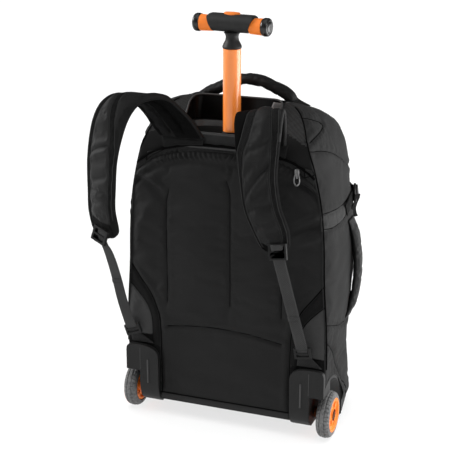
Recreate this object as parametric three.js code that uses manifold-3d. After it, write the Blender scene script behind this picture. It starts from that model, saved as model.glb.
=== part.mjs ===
// Wheeled backpack, standing on its two wheels and a front rest.
// Millimetres, +Z up. The back panel (the side with the shoulder straps) faces -Y,
// the bag's front faces +Y, and x = 0 is the bag's middle plane before FRAME is applied.
import * as THREE from 'three';
import { mergeVertices } from 'three/addons/utils/BufferGeometryUtils.js';
import Module from 'manifold-3d';

const wasm = await Module();
wasm.setup();

// ---------------------------------------------------------------- driving dimensions
const FRAME = { x: 3.6, y: 45.2 };           // shift that puts the origin under the middle of the outline
const GAP = 0.4;                              // clearance between neighbouring pieces
const WALL = 3;                               // sewn cloth wall with its backing
const BACK_PAD = 12;                          // padded back panel
const BOTTOM_Z = 33;                          // underside of the bag
const PANEL_TOP = 487;                        // top edge of the back, side and front panels
const CROWN_Z = 560.8;                         // highest point of the cloth top
const SQUARENESS = 3;                         // power of the rounded front outline
const FRONT_SEAM = 30;                        // degrees round from the side to the front seam

const POLE = { x: 0, y: -74, r: 15, wall: 1.8, bottom: 203, top: 648 };
const GUIDE = { inner: 15.5, outer: 18, bottom: 60, top: 509.8 };
const GRIP = { z: 685.5, topHalf: 40, bottomHalf: 31, low: 674.5, high: 702, depth: 30, turn: -6 }; // turn: degrees about the round pole, as photographed
const SLEEVE = { r: 12.5, from: 36.5, to: 54 };
const CAP = { r: 14.6, from: 54.4, to: 66.5 };
const BUTTON = { halfX: 14, halfY: 7, low: 697, high: 705, travel: 3.2 };
const WELL = { half: 80, wall: 2.5, rearY: -37.8, floor: 513, floorThick: 2.8 };

const WHEEL = { r: 40, y: -80, z: 40, inner: 163, outer: 189, hubR: 29, bore: 5.4 };
const AXLE_R = 5;
const ARCH = { clear: 45.5, outer: 66 };
const HOUSING = { inner: 118.5, leg: 153, outer: 178, face: -119, seat: -110.4, front: -36, bottom: 24, legTop: 100, notch: 84 };
const FOOT = { half: 115, y0: 58, y1: 94, top: 32.6, lip: 6 };

const STRAP_T = 14;                           // shoulder strap thickness
const WEB = { wide: 20, thick: 1.8 };         // strap webbing

// Outline of the bag at each height: half width at the back edge, greatest half width and
// the y where it is reached, and the y of the back and front faces.
const SECTIONS = [
  { z: 33, backHalf: 170, sideHalf: 176, sideY: -10, backY: -109, frontY: 106 },
  { z: 50, backHalf: 175, sideHalf: 181.5, sideY: -10, backY: -110, frontY: 112.5 },
  { z: 90, backHalf: 177.5, sideHalf: 181, sideY: -10, backY: -110, frontY: 113 },
  { z: 135, backHalf: 178, sideHalf: 180, sideY: -10, backY: -110, frontY: 113.5 },
  { z: 205, backHalf: 176, sideHalf: 181, sideY: -10, backY: -110, frontY: 114.5 },
  { z: 280, backHalf: 171, sideHalf: 183.5, sideY: -10, backY: -110, frontY: 115 },
  { z: 340, backHalf: 169, sideHalf: 182, sideY: -10, backY: -110, frontY: 115 },
  { z: 400, backHalf: 164, sideHalf: 175, sideY: -10, backY: -110, frontY: 113 },
  { z: 440, backHalf: 157, sideHalf: 169, sideY: -10, backY: -110, frontY: 110 },
  { z: 480, backHalf: 147, sideHalf: 162, sideY: -10, backY: -110, frontY: 102 },
  { z: 497, backHalf: 141, sideHalf: 158, sideY: -11, backY: -107, frontY: 92 },
  { z: 513, backHalf: 134, sideHalf: 152.5, sideY: -13, backY: -98.5, frontY: 80 },
  { z: 527, backHalf: 127, sideHalf: 145, sideY: -16, backY: -84, frontY: 60 },
  { z: 540, backHalf: 119, sideHalf: 135, sideY: -22, backY: -72, frontY: 29 },
  { z: 551, backHalf: 109, sideHalf: 119, sideY: -30, backY: -61, frontY: -3 },
  { z: 557, backHalf: 98, sideHalf: 104, sideY: -36, backY: -52, frontY: -22 },
  { z: 560, backHalf: 87, sideHalf: 89, sideY: -38, backY: -46, frontY: -31 },
];

// Shoulder straps, from the sewn base over the arch and down: middle line, width,
// heading of the width direction in plan and its dip, in degrees.
const STRAP_LEFT = [
  { x: -72, y: -115, z: 509.2, wide: 78, head: 0, dip: 0 },
  { x: -86, y: -120, z: 531, wide: 70, head: 2, dip: 10 },
  { x: -102, y: -130, z: 555, wide: 60, head: 6, dip: 13 },
  { x: -114, y: -145, z: 572, wide: 60, head: 9, dip: 7 },
  { x: -129, y: -163, z: 578, wide: 61, head: 8, dip: 0 },
  { x: -145, y: -179, z: 572, wide: 62, head: 4, dip: -2 },
  { x: -158, y: -188, z: 552, wide: 62, head: -3, dip: -1 },
  { x: -168, y: -192, z: 520, wide: 61, head: -9, dip: -1 },
  { x: -176, y: -193, z: 476, wide: 60, head: -14, dip: 5 },
  { x: -180, y: -190, z: 427, wide: 58, head: -16, dip: 8 },
  { x: -182, y: -187, z: 392, wide: 56, head: -16, dip: 8 },
  { x: -177, y: -184, z: 359, wide: 54, head: -17, dip: 8 },
  { x: -173, y: -182, z: 344, wide: 40, head: -18, dip: 6 },
];
const STRAP_RIGHT = [
  { x: 70, y: -115, z: 509.2, wide: 72, head: 0, dip: 0 },
  { x: 70, y: -118, z: 530, wide: 74, head: 0, dip: 2 },
  { x: 70, y: -124, z: 549, wide: 77, head: 0, dip: 5 },
  { x: 70.5, y: -133, z: 560, wide: 80, head: 0, dip: 8 },
  { x: 71.5, y: -144, z: 562, wide: 80, head: 0, dip: 9 },
  { x: 73, y: -154, z: 551, wide: 79, head: 1, dip: 8 },
  { x: 75, y: -162, z: 529, wide: 74, head: 2, dip: 5 },
  { x: 76, y: -166, z: 503, wide: 69, head: 1, dip: 3 },
  { x: 78, y: -168, z: 464, wide: 63, head: 1, dip: 5 },
  { x: 84, y: -166, z: 420, wide: 63, head: 1, dip: 6 },
  { x: 96, y: -161, z: 384, wide: 62, head: 0, dip: 7 },
  { x: 103, y: -157, z: 358, wide: 52, head: -1, dip: 8 },
  { x: 106, y: -154, z: 344, wide: 36, head: -1, dip: 8 },
];
// Webbing below each strap, down to the lower buckle.
const WEB_LEFT = [
  { x: -171, y: -193, z: 332, head: -16, dip: -6 },
  { x: -169, y: -183.5, z: 308, head: -14, dip: 5 },
  { x: -170, y: -163, z: 268, head: -10, dip: 12 },
  { x: -170.5, y: -143, z: 222, head: -6, dip: 16 },
  { x: -166.5, y: -124.5, z: 174, head: -2, dip: 20 },
];
const WEB_RIGHT = [
  { x: 114.5, y: -167.6, z: 337, head: 0, dip: 8 },
  { x: 117.5, y: -159, z: 312, head: 0, dip: 9 },
  { x: 125, y: -145, z: 262, head: 0, dip: 10 },
  { x: 133, y: -132, z: 214, head: 0, dip: 10 },
  { x: 139.5, y: -122.5, z: 176, head: 0, dip: 9 },
];
// Adjusters at the strap ends and buckles at the lower corners.
const LOCK = { wide: 30, tall: 26, thick: 6, bar: 3.4 };
const LOCKS = [
  { side: 'left', x: -182, y: -196.8, z: 352.5, head: -17, dip: -18, lean: 5 },
  { side: 'right', x: 112.5, y: -170.5, z: 351.5, head: 0, dip: 8, lean: 9 },
];
const LOWER_BUCKLE = { wide: 29, tall: 19, thick: 6 };
const LOWER_BUCKLES = [
  { side: 'left', x: -163, y: -120.5, z: 161.5, dip: 20 },
  { side: 'right', x: 141.5, y: -120.5, z: 163, dip: 9 },
];
// Cloth tabs from the lower buckles to the corners of the back panel.
const TABS = [
  { side: 'left', topX0: -172, topX1: -152, topZ: 151.2, lowX0: -168, lowX1: -128, lowZ: 135.5 },
  { side: 'right', topX0: 131, topX1: 153, topZ: 152.6, lowX0: 129, lowX1: 172, lowZ: 135.5 },
];
const ANCHOR = { inner: 33, outer: 108, low: 488, high: 508.4, y0: -114.2, y1: -110.6 };
const GRAB = { half: 76, y: -18, foot: 555, rise: 39, tall: 13.5, deep: 26 };
const SIDE_HANDLE = { low: 189, high: 362, y: 6, rise: 12.2, thick: 12, deep: 30 };
const SIDE_STRAP = { fromY: -88, toY: 62, fromZ: 372, toZ: 398, wide: 20, thick: 1.8 };
const SIDE_BUCKLE = { y: 42, z: 393, tall: 40, deep: 26, thick: 9 };
const ZIP = { x: 124, y: -114.2, z: 466 };

// ---------------------------------------------------------------- materials
const finish = (color, roughness, metalness = 0) => new THREE.MeshStandardMaterial({ color, roughness, metalness });
const CLOTH_BACK = finish(0x262626, 0.9);
const CLOTH_SIDE = finish(0x484848, 0.9);
const CLOTH_STRAP = finish(0x303030, 0.9);
const WEBBING = finish(0x2c2c2c, 0.85);
const PLASTIC = finish(0x202020, 0.5);
const GRIP_RUBBER = finish(0x242424, 0.7);
const ORANGE_TUBE = finish(0xff8030, 0.35, 0.6);
const ORANGE_PLASTIC = finish(0xff7a1e, 0.45);
const TYRE_RUBBER = finish(0x4a4a4a, 0.85);
const STEEL = finish(0xb0b0b0, 0.3, 1);

// ---------------------------------------------------------------- geometry helpers
const V = (x, y, z) => new THREE.Vector3(x, y, z);
const rad = THREE.MathUtils.degToRad;

// One closed body with merged vertices and its faces pointing out.
function closed(geometry) {
  for (const key of Object.keys(geometry.attributes)) if (key !== 'position') geometry.deleteAttribute(key);
  const g = mergeVertices(geometry, 1e-4);
  const p = g.attributes.position;
  const index = g.index.array;
  const a = V(), b = V(), c = V();
  let volume = 0;
  const keep = [];
  for (let i = 0; i < index.length; i += 3) {
    if (index[i] === index[i + 1] || index[i + 1] === index[i + 2] || index[i] === index[i + 2]) continue;
    keep.push(index[i], index[i + 1], index[i + 2]);
    a.fromBufferAttribute(p, index[i]);
    b.fromBufferAttribute(p, index[i + 1]);
    c.fromBufferAttribute(p, index[i + 2]);
    volume += a.dot(b.cross(c));
  }
  if (volume < 0) for (let i = 0; i < keep.length; i += 3) [keep[i], keep[i + 1]] = [keep[i + 1], keep[i]];
  g.setIndex(keep);
  return g;
}

function solid(geometry) {
  const g = closed(geometry.clone());
  return new wasm.Manifold(new wasm.Mesh({
    numProp: 3,
    vertProperties: new Float32Array(g.attributes.position.array),
    triVerts: new Uint32Array(g.index.array),
  }));
}

function geometryOf(body) {
  const mesh = body.getMesh();
  const g = new THREE.BufferGeometry();
  g.setAttribute('position', new THREE.BufferAttribute(Float32Array.from(mesh.vertProperties), 3));
  g.setIndex(Array.from(mesh.triVerts));
  return g;
}

const cut = (geometry, ...tools) => geometryOf(tools.reduce((body, tool) => body.subtract(solid(tool)), solid(geometry)));
const join = (...geometries) => geometryOf(geometries.slice(1).reduce((body, g) => body.add(solid(g)), solid(geometries[0])));

function box(x0, x1, y0, y1, z0, z1) {
  const g = new THREE.BoxGeometry(x1 - x0, y1 - y0, z1 - z0);
  g.translate((x0 + x1) / 2, (y0 + y1) / 2, (z0 + z1) / 2);
  return g;
}

const shapeOf = (points) => new THREE.Shape(points.map(([u, v]) => new THREE.Vector2(u, v)));

// Outline in (y, z), drawn out along x.
function alongX(points, x0, x1, curveSegments = 8) {
  const shape = Array.isArray(points) ? shapeOf(points) : points;
  const g = new THREE.ExtrudeGeometry(shape, { depth: x1 - x0, bevelEnabled: false, curveSegments });
  g.applyMatrix4(new THREE.Matrix4().makeBasis(V(0, 1, 0), V(0, 0, 1), V(1, 0, 0)));
  g.translate(x0, 0, 0);
  return g;
}

// Outline in (x, z), drawn out along y.
function alongY(points, y0, y1, curveSegments = 8) {
  const shape = Array.isArray(points) ? shapeOf(points) : points;
  const g = new THREE.ExtrudeGeometry(shape, { depth: y1 - y0, bevelEnabled: false, curveSegments });
  g.rotateX(Math.PI / 2);
  g.translate(0, y1, 0);
  return g;
}

// Profile of [radius, height] rows turned about z or x.
function turned(rows, axis, sides) {
  const g = new THREE.LatheGeometry(rows.map(([r, h]) => new THREE.Vector2(r, h)), sides);
  if (axis === 'z') g.rotateX(Math.PI / 2);
  else g.rotateZ(-Math.PI / 2);
  return g;
}

function cylinderX(r, x0, x1, y, z, sides = 32) {
  const g = new THREE.CylinderGeometry(r, r, x1 - x0, sides);
  g.rotateZ(Math.PI / 2);
  g.translate((x0 + x1) / 2, y, z);
  return g;
}

// Body skinned over rings of equal count, capped at both ends.
function skin(rings) {
  const n = rings[0].length;
  const points = rings.flat();
  const index = [];
  for (let r = 0; r + 1 < rings.length; r++) {
    for (let i = 0; i < n; i++) {
      const a = r * n + i, b = r * n + ((i + 1) % n);
      index.push(a, b, b + n, a, b + n, a + n);
    }
  }
  [0, rings.length - 1].forEach((r) => {
    const centre = rings[r].reduce((s, p) => s.add(p), V(0, 0, 0)).divideScalar(n);
    const at = points.push(centre) - 1;
    for (let i = 0; i < n; i++) {
      const a = r * n + i, b = r * n + ((i + 1) % n);
      index.push(...(r ? [a, b, at] : [b, a, at]));
    }
  });
  const g = new THREE.BufferGeometry().setFromPoints(points);
  g.setIndex(index);
  return g;
}

// Sheet with thickness between an outer and an inner surface over a grid.
function sheet(nu, nv, outer, inner) {
  const points = [];
  for (const surface of [outer, inner]) {
    for (let j = 0; j <= nv; j++) for (let i = 0; i <= nu; i++) points.push(surface(i / nu, j / nv));
  }
  const base = (nu + 1) * (nv + 1);
  const at = (i, j, k) => k * base + j * (nu + 1) + i;
  const index = [];
  const quad = (a, b, c, d) => index.push(a, b, c, a, c, d);
  for (let j = 0; j < nv; j++) {
    for (let i = 0; i < nu; i++) {
      quad(at(i, j, 0), at(i + 1, j, 0), at(i + 1, j + 1, 0), at(i, j + 1, 0));
      quad(at(i, j + 1, 1), at(i + 1, j + 1, 1), at(i + 1, j, 1), at(i, j, 1));
    }
  }
  for (let i = 0; i < nu; i++) {
    quad(at(i + 1, 0, 0), at(i, 0, 0), at(i, 0, 1), at(i + 1, 0, 1));
    quad(at(i, nv, 0), at(i + 1, nv, 0), at(i + 1, nv, 1), at(i, nv, 1));
  }
  for (let j = 0; j < nv; j++) {
    quad(at(0, j, 0), at(0, j + 1, 0), at(0, j + 1, 1), at(0, j, 1));
    quad(at(nu, j + 1, 0), at(nu, j, 0), at(nu, j, 1), at(nu, j + 1, 1));
  }
  const g = new THREE.BufferGeometry().setFromPoints(points);
  g.setIndex(index);
  return g;
}

// Smooth value between table rows: cubic with slopes from the neighbouring rows.
function between(rows, key, value, column) {
  let i = 0;
  while (i < rows.length - 2 && value > rows[i + 1][key]) i++;
  const slope = (k) => {
    const lo = rows[Math.max(k - 1, 0)], hi = rows[Math.min(k + 1, rows.length - 1)];
    return (hi[column] - lo[column]) / (hi[key] - lo[key]);
  };
  const a = rows[i], b = rows[i + 1], h = b[key] - a[key];
  const t = THREE.MathUtils.clamp((value - a[key]) / h, 0, 1);
  const t2 = t * t, t3 = t2 * t;
  return (2 * t3 - 3 * t2 + 1) * a[column] + (t3 - 2 * t2 + t) * h * slope(i)
    + (3 * t2 - 2 * t3) * b[column] + (t3 - t2) * h * slope(i + 1);
}

// ---------------------------------------------------------------- bag outline
function sectionAt(z) {
  const at = (column) => between(SECTIONS, 'z', z, column);
  return { backHalf: at('backHalf'), sideHalf: at('sideHalf'), sideY: at('sideY'), backY: at('backY'), frontY: at('frontY') };
}

// Right-hand side of the outline: share 0 at the back edge, 1 at the middle of the front.
const SIDE_SHARE = 0.34;
function outline(z, share) {
  const s = sectionAt(z);
  if (share < SIDE_SHARE) {
    const t = 1 - share / SIDE_SHARE;
    return V(s.sideHalf - (s.sideHalf - s.backHalf) * t * t, s.sideY + (s.backY - s.sideY) * t, z);
  }
  const angle = (share - SIDE_SHARE) / (1 - SIDE_SHARE) * Math.PI / 2;
  const c = Math.cos(angle), d = Math.sin(angle), depth = s.frontY - s.sideY;
  const r = ((c / s.sideHalf) ** SQUARENESS + (d / depth) ** SQUARENESS) ** (-1 / SQUARENESS);
  return V(r * c, s.sideY + r * d, z);
}
const frontShare = SIDE_SHARE + (1 - SIDE_SHARE) * FRONT_SEAM / 90;

// Point moved into the bag by a distance, along the surface normal.
function inset(surface, u, v, distance) {
  const e = 1e-3;
  const du = surface(u + e, v).sub(surface(u - e, v));
  const dv = surface(u, v + e).sub(surface(u, v - e));
  return surface(u, v).addScaledVector(du.cross(dv).normalize(), -distance);
}

const mirrored = (g) => g.clone().scale(-1, 1, 1);

// ---------------------------------------------------------------- cloth panels
const low = BOTTOM_Z + WALL + GAP;
const zOf = (v, top = PANEL_TOP) => low + (top - low) * v;
const shareAtY = (z, y) => {                              // share on the side where y is reached
  const s = sectionAt(z);
  return SIDE_SHARE * (1 - (s.sideY - y) / (s.sideY - s.backY));
};
const sideSurface = (u, v) => {
  const z = zOf(v);
  const from = shareAtY(z, sectionAt(z).backY + BACK_PAD + GAP);
  return outline(z, from + (frontShare - 0.002 - from) * u);
};
const sideSheet = sheet(9, 12, sideSurface, (u, v) => inset(sideSurface, u, v, WALL));

const frontSurface = (u, v) => {
  const share = frontShare + 0.002 + (1 - frontShare - 0.002) * 2 * Math.min(u, 1 - u);
  const p = outline(zOf(v), Math.min(share, 1));
  return u > 0.5 ? V(-p.x, p.y, p.z) : p;
};
const frontSheet = sheet(12, 10, frontSurface, (u, v) => {
  const p = frontSurface(u, v);
  const s = sectionAt(p.z);
  return V(p.x * (1 - WALL / s.sideHalf), p.y - WALL, p.z);
});

const BACK_EDGE = [                                       // how far the pad's outer face pulls in near its edge
  { share: 0, drop: 4.5 }, { share: 0.035, drop: 1.2 }, { share: 0.09, drop: 0 },
];
const edgeDrop = (t) => between(BACK_EDGE, 'share', Math.min(t, 0.09), 'drop');
const backSpread = [0, 0.035, 0.09, 0.2, 0.35, 0.5, 0.65, 0.8, 0.91, 0.965, 1];
const backAt = (u, v, depth) => {
  const z = zOf(v);
  const s = sectionAt(z);
  const share = backSpread[Math.round(u * (backSpread.length - 1))];
  const drop = depth ? 0 : edgeDrop(Math.min(share, 1 - share));
  return V(s.backHalf * (2 * share - 1), s.backY + drop + depth, z);
};
const backSheet = sheet(backSpread.length - 1, 12, (u, v) => backAt(1 - u, v, 0), (u, v) => backAt(1 - u, v, BACK_PAD));

// Cloth top: rings of the outline drawn in towards the crown, closed by a flat cap.
const ringAt = (z, around) => {
  const s = sectionAt(z);
  const BACK_PART = 0.2;
  if (around < BACK_PART) return V(s.backHalf * (2 * around / BACK_PART - 1), s.backY, z);
  const t = (around - BACK_PART) / (1 - BACK_PART) * 2;
  const p = outline(z, t < 1 ? t : 2 - t);
  return t <= 1 ? p : V(-p.x, p.y, p.z);
};
const TOP_ROWS = [PANEL_TOP + GAP, 497, 513, 527, 540, 551, 557, 560];
const CREST_Y = -38;
const TOP_RING = 40;
function topShell() {
  const ring = (z) => Array.from({ length: TOP_RING }, (_, i) => ringAt(z, i / TOP_RING));
  const outer = TOP_ROWS.map(ring);
  const inner = outer.map((points, j) => points.map((p, i) => {
    const du = points[(i + 1) % TOP_RING].clone().sub(points[(i + TOP_RING - 1) % TOP_RING]);
    const up = outer[Math.min(j + 1, outer.length - 1)][i].clone().sub(outer[Math.max(j - 1, 0)][i]);
    const q = p.clone().addScaledVector(du.cross(up).normalize(), -WALL);
    if (j === 0) q.z = p.z;
    return q;
  }));
  const all = [...outer, ...[...inner].reverse()];
  return skinOpen(all, V(0, CREST_Y, CROWN_Z), V(0, CREST_Y, CROWN_Z - WALL));
}
// Double skin: outer rings up to one pole, inner rings down from another, joined at the rim.
function skinOpen(rings, outerPole, innerPole) {
  const n = rings[0].length, half = rings.length / 2;
  const points = rings.flat();
  const index = [];
  const band = (r0, r1) => {
    for (let i = 0; i < n; i++) {
      const a = r0 * n + i, b = r0 * n + ((i + 1) % n), c = r1 * n + ((i + 1) % n), d = r1 * n + i;
      index.push(a, b, c, a, c, d);
    }
  };
  for (let r = 0; r + 1 < half; r++) band(r, r + 1);
  for (let r = half; r + 1 < rings.length; r++) band(r, r + 1);
  band(rings.length - 1, 0);
  const top = points.push(outerPole) - 1, under = points.push(innerPole) - 1;
  for (let i = 0; i < n; i++) {
    index.push((half - 1) * n + i, (half - 1) * n + ((i + 1) % n), top);
    index.push(half * n + ((i + 1) % n), half * n + i, under);
  }
  const g = new THREE.BufferGeometry().setFromPoints(points);
  g.setIndex(index);
  return g;
}

// ---------------------------------------------------------------- wheel housings
function housing() {
  const h = HOUSING;
  const face = new THREE.Shape();
  face.moveTo(h.inner, h.bottom);
  face.lineTo(h.inner, 112);
  face.bezierCurveTo(h.inner, 128, h.inner + 18, 133, h.inner + 42, 132.5);
  face.bezierCurveTo(h.inner + 58, 132, h.outer, 128, h.outer, 118);
  face.lineTo(h.outer, h.notch);
  face.lineTo(h.leg + 3, h.notch);
  face.lineTo(h.leg, h.notch - 4);
  face.lineTo(h.leg - 2, h.bottom);
  const plate = alongY(face, h.face, h.seat, 7);
  const leg = box(h.inner, h.leg, h.seat - 1, h.front, h.bottom, h.legTop);
  const hood = cylinderX(ARCH.outer, h.leg - 1, h.outer, WHEEL.y, WHEEL.z, 40);
  const flare = turned([[0, h.leg + 5], [ARCH.clear - 0.5, h.leg + 5], [ARCH.outer - 3, h.outer + 0.5], [0, h.outer + 0.5]], 'x', 40).translate(0, WHEEL.y, WHEEL.z);
  const bridge = box(h.leg - 1, h.outer, h.seat - 1, WHEEL.y, h.notch, h.legTop);
  // runner in front of the wheel, below the bag's underside
  const runner = alongX([[-34.3, 37], [-34.3, 28], [-20, 9], [-12, 7.5], [0, 9], [26, 26], [31, 32], [-14, 32], [-14, 37]], h.leg - 1, h.outer);
  // the foot of the plate rolls forward under the bag
  const roll = alongX([[-140, 62], [-119, 62], [-117.6, 49], [-113.6, 37], [-107.5, 29], [-100, 23.5], [-140, 23.5]], h.inner - 5, h.leg + 20);
  const whole = join(plate, leg, cut(hood, box(h.leg - 2, 200, -200, 0, -50, WHEEL.z - 4)), bridge, runner);
  return cut(
    whole,
    cylinderX(ARCH.clear, h.leg, 200, WHEEL.y, WHEEL.z, 40),
    cut(flare, box(100, 200, -200, WHEEL.y, -50, 200)),
    box(h.leg, 200, WHEEL.y - ARCH.clear, WHEEL.y + ARCH.clear, -50, WHEEL.z),
    box(h.leg, 200, -200, -100, -50, h.notch - 0.02),
    box(0, 200, -200, h.face, -50, 200),
    roll,
  );
}
const housingRight = housing();
const cornerRoom = [                                      // space that the housing takes from the panels
  box(HOUSING.inner - GAP, 200, -140, WHEEL.y + GAP, -10, HOUSING.legTop + GAP),
  box(HOUSING.inner - GAP, HOUSING.leg + GAP, -140, HOUSING.front + GAP, -10, HOUSING.legTop + GAP),
  cylinderX(ARCH.outer + GAP, HOUSING.leg - GAP - 1, 200, WHEEL.y, WHEEL.z, 40),
  box(HOUSING.leg - 2, 200, WHEEL.y - ARCH.outer - GAP, WHEEL.y + ARCH.outer + GAP, -10, WHEEL.z),
];
const bothCorners = [...cornerRoom, ...cornerRoom.map(mirrored)];

const bottomPlate = () => {
  const steps = 24;
  const right = Array.from({ length: steps + 1 }, (_, i) => outline(BOTTOM_Z + WALL, i / steps));
  const loop = [...right, ...right.slice(0, -1).reverse().map((p) => V(-p.x, p.y, p.z))];
  const shape = shapeOf(loop.map((p) => [p.x, p.y]));
  const g = new THREE.ExtrudeGeometry(shape, { depth: WALL, bevelEnabled: false });
  g.translate(0, 0, BOTTOM_Z);
  return g;
};

// ---------------------------------------------------------------- straps and webbing
const widthDirection = (row) => V(
  Math.cos(rad(row.dip)) * Math.cos(rad(row.head)),
  Math.cos(rad(row.dip)) * Math.sin(rad(row.head)),
  Math.sin(rad(row.dip)),
);
// Band lofted along a table of rows; the section is given in shares of width and thickness.
function band(rows, section, wide, thick, steps) {
  const keyed = rows.map((row, i) => ({ ...row, at: i }));
  const at = (t) => Object.fromEntries(Object.keys(rows[0]).map((c) => [c, between(keyed, 'at', t, c)]));
  const last = rows.length - 1;
  const rings = [];
  for (let k = 0; k <= last * steps; k++) {
    const t = k / steps, row = at(t);
    const before = at(Math.max(t - 0.05, 0)), after = at(Math.min(t + 0.05, last));
    const along = V(after.x - before.x, after.y - before.y, after.z - before.z).normalize();
    const across = widthDirection(row);
    const out = along.clone().cross(across).normalize();
    const w = row.wide ?? wide;
    rings.push(section.map(([a, b]) => V(row.x, row.y, row.z)
      .addScaledVector(across, a * w / 2).addScaledVector(out, b * thick / 2)));
  }
  return skin(rings);
}
const PAD_SECTION = [[1, -0.45], [1, 0.45], [0.9, 0.9], [0.45, 1], [-0.45, 1], [-0.9, 0.9], [-1, 0.45], [-1, -0.45], [-0.9, -0.9], [0, -1], [0.9, -0.9]];
const FLAT_SECTION = [[1, -1], [1, 1], [-1, 1], [-1, -1]];

function placed(geometry, spot, lean = 0) {
  const across = widthDirection({ head: spot.head ?? 0, dip: spot.dip });
  const up = V(0, Math.sin(rad(lean)), Math.cos(rad(lean)));
  const out = across.clone().cross(up).normalize();
  const along = out.clone().cross(across).normalize();
  geometry.applyMatrix4(new THREE.Matrix4().makeBasis(across, out, along));
  geometry.translate(spot.x, spot.y, spot.z);
  return geometry;
}
// Frame with two slots, as an adjuster or buckle has.
function slottedFrame(size, bar) {
  const w = size.wide / 2, t = size.tall / 2, d = size.thick / 2;
  const slot = (z0, z1) => box(-w + 4, w - 4, -d - 1, d + 1, z0, z1);
  return cut(box(-w, w, -d, d, -t, t), slot(bar / 2, t - 4), slot(-t + 4, -bar / 2));
}

// ---------------------------------------------------------------- assembly
const bag = new THREE.Group();
bag.name = 'wheeled_backpack';
bag.position.set(FRAME.x, FRAME.y, 0);
function part(name, geometry, material) {
  const mesh = new THREE.Mesh(closed(geometry), material);
  mesh.name = name;
  bag.add(mesh);
}
function pair(name, right, material) {
  part(`${name}_right`, right, material);
  part(`${name}_left`, mirrored(right), material);
}

// Shell.
part('back_panel', cut(backSheet, ...bothCorners), CLOTH_BACK);
pair('side_panel', cut(sideSheet, ...cornerRoom), CLOTH_SIDE);
part('front_panel', frontSheet, CLOTH_SIDE);
part('top_panel', cut(topShell(), box(-WELL.half - GAP, WELL.half + GAP, -160, WELL.rearY + GAP, 470, 620)), CLOTH_SIDE);
part('bottom_panel', cut(bottomPlate(), ...bothCorners), CLOTH_BACK);
part('front_foot', alongX([
  [FOOT.y0 + FOOT.lip, 0], [FOOT.y1 - FOOT.lip, 0], [FOOT.y1, FOOT.lip], [FOOT.y1, FOOT.top], [FOOT.y0, FOOT.top], [FOOT.y0, FOOT.lip],
], -FOOT.half, FOOT.half), PLASTIC);

// Shoulder straps with their bases, adjusters, webbing, buckles and tabs.
part('shoulder_strap_left', band(STRAP_LEFT, PAD_SECTION, 0, STRAP_T, 2), CLOTH_STRAP);
part('shoulder_strap_right', band(STRAP_RIGHT, PAD_SECTION, 0, STRAP_T, 2), CLOTH_STRAP);
pair('strap_anchor', box(ANCHOR.inner, ANCHOR.outer, ANCHOR.y0, ANCHOR.y1, ANCHOR.low, ANCHOR.high), CLOTH_STRAP);
part('strap_webbing_left', band(WEB_LEFT, FLAT_SECTION, WEB.wide, WEB.thick, 2), WEBBING);
part('strap_webbing_right', band(WEB_RIGHT, FLAT_SECTION, WEB.wide, WEB.thick, 2), WEBBING);
for (const spot of LOCKS) part(`ladder_lock_${spot.side}`, placed(slottedFrame(LOCK, LOCK.bar), spot, spot.lean), PLASTIC);
for (const spot of LOWER_BUCKLES) part(`strap_buckle_${spot.side}`, placed(slottedFrame(LOWER_BUCKLE, 3), spot), PLASTIC);
for (const tab of TABS) {
  part(`strap_tab_${tab.side}`, alongY([
    [tab.lowX0, tab.lowZ], [tab.lowX1, tab.lowZ], [tab.topX1, tab.topZ], [tab.topX0, tab.topZ],
  ], -113.6, -110.6), WEBBING);
}

// Top grab handle and side handle: padded bars bowed off the cloth.
const bow = (t) => Math.sin(Math.PI * t) ** 0.75;
function bowed(place, steps, tall, deep, depthAxis) {
  const rings = [];
  for (let k = 0; k <= steps; k++) {
    const t = k / steps;
    const here = place(t), along = place(Math.min(t + 0.02, 1)).sub(place(Math.max(t - 0.02, 0))).normalize();
    const out = along.clone().cross(depthAxis).normalize();
    const sides = 10;
    rings.push(Array.from({ length: sides }, (_, i) => {
      const a = (i + 0.5) / sides * 2 * Math.PI;
      return here.clone().addScaledVector(out, Math.cos(a) * tall / 2).addScaledVector(depthAxis, Math.sin(a) * deep / 2);
    }));
  }
  return skin(rings);
}
// The bag's top as one body, raised a little, used to trim the foot of the handle.
const crown = skin(TOP_ROWS.map((z) => Array.from({ length: TOP_RING }, (_, i) => ringAt(z, i / TOP_RING))));
crown.translate(0, 0, 1.3);
part('grab_handle', cut(
  bowed((t) => V(GRAB.half * (2 * t - 1), GRAB.y, GRAB.foot - 2 + GRAB.rise * bow(t)), 14, GRAB.tall, GRAB.deep, V(0, 1, 0)),
  crown,
), CLOTH_STRAP);
const sideX = (z) => sectionAt(z).sideHalf;
const sideBar = bowed((t) => {
  const z = SIDE_HANDLE.low + (SIDE_HANDLE.high - SIDE_HANDLE.low) * t;
  return V(sideX(z) + 1 + SIDE_HANDLE.rise * bow(t), SIDE_HANDLE.y, z);
}, 14, SIDE_HANDLE.thick, SIDE_HANDLE.deep, V(0, 1, 0));
// Bag side up to a little outside its surface, used to trim what is sewn onto it.
const sideTrim = sheet(10, 14, (u, v) => {
  const z = 60 + 400 * v, p = outline(z, 0.02 + (frontShare + 0.1) * u);
  return V(p.x + 0.45, p.y + (p.y > -10 ? 0.3 : 0), z);
}, (u, v) => V(100, outline(60 + 400 * v, 0.02 + (frontShare + 0.1) * u).y * 0.6, 60 + 400 * v));
part('side_handle', cut(sideBar, sideTrim), CLOTH_STRAP);

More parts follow.
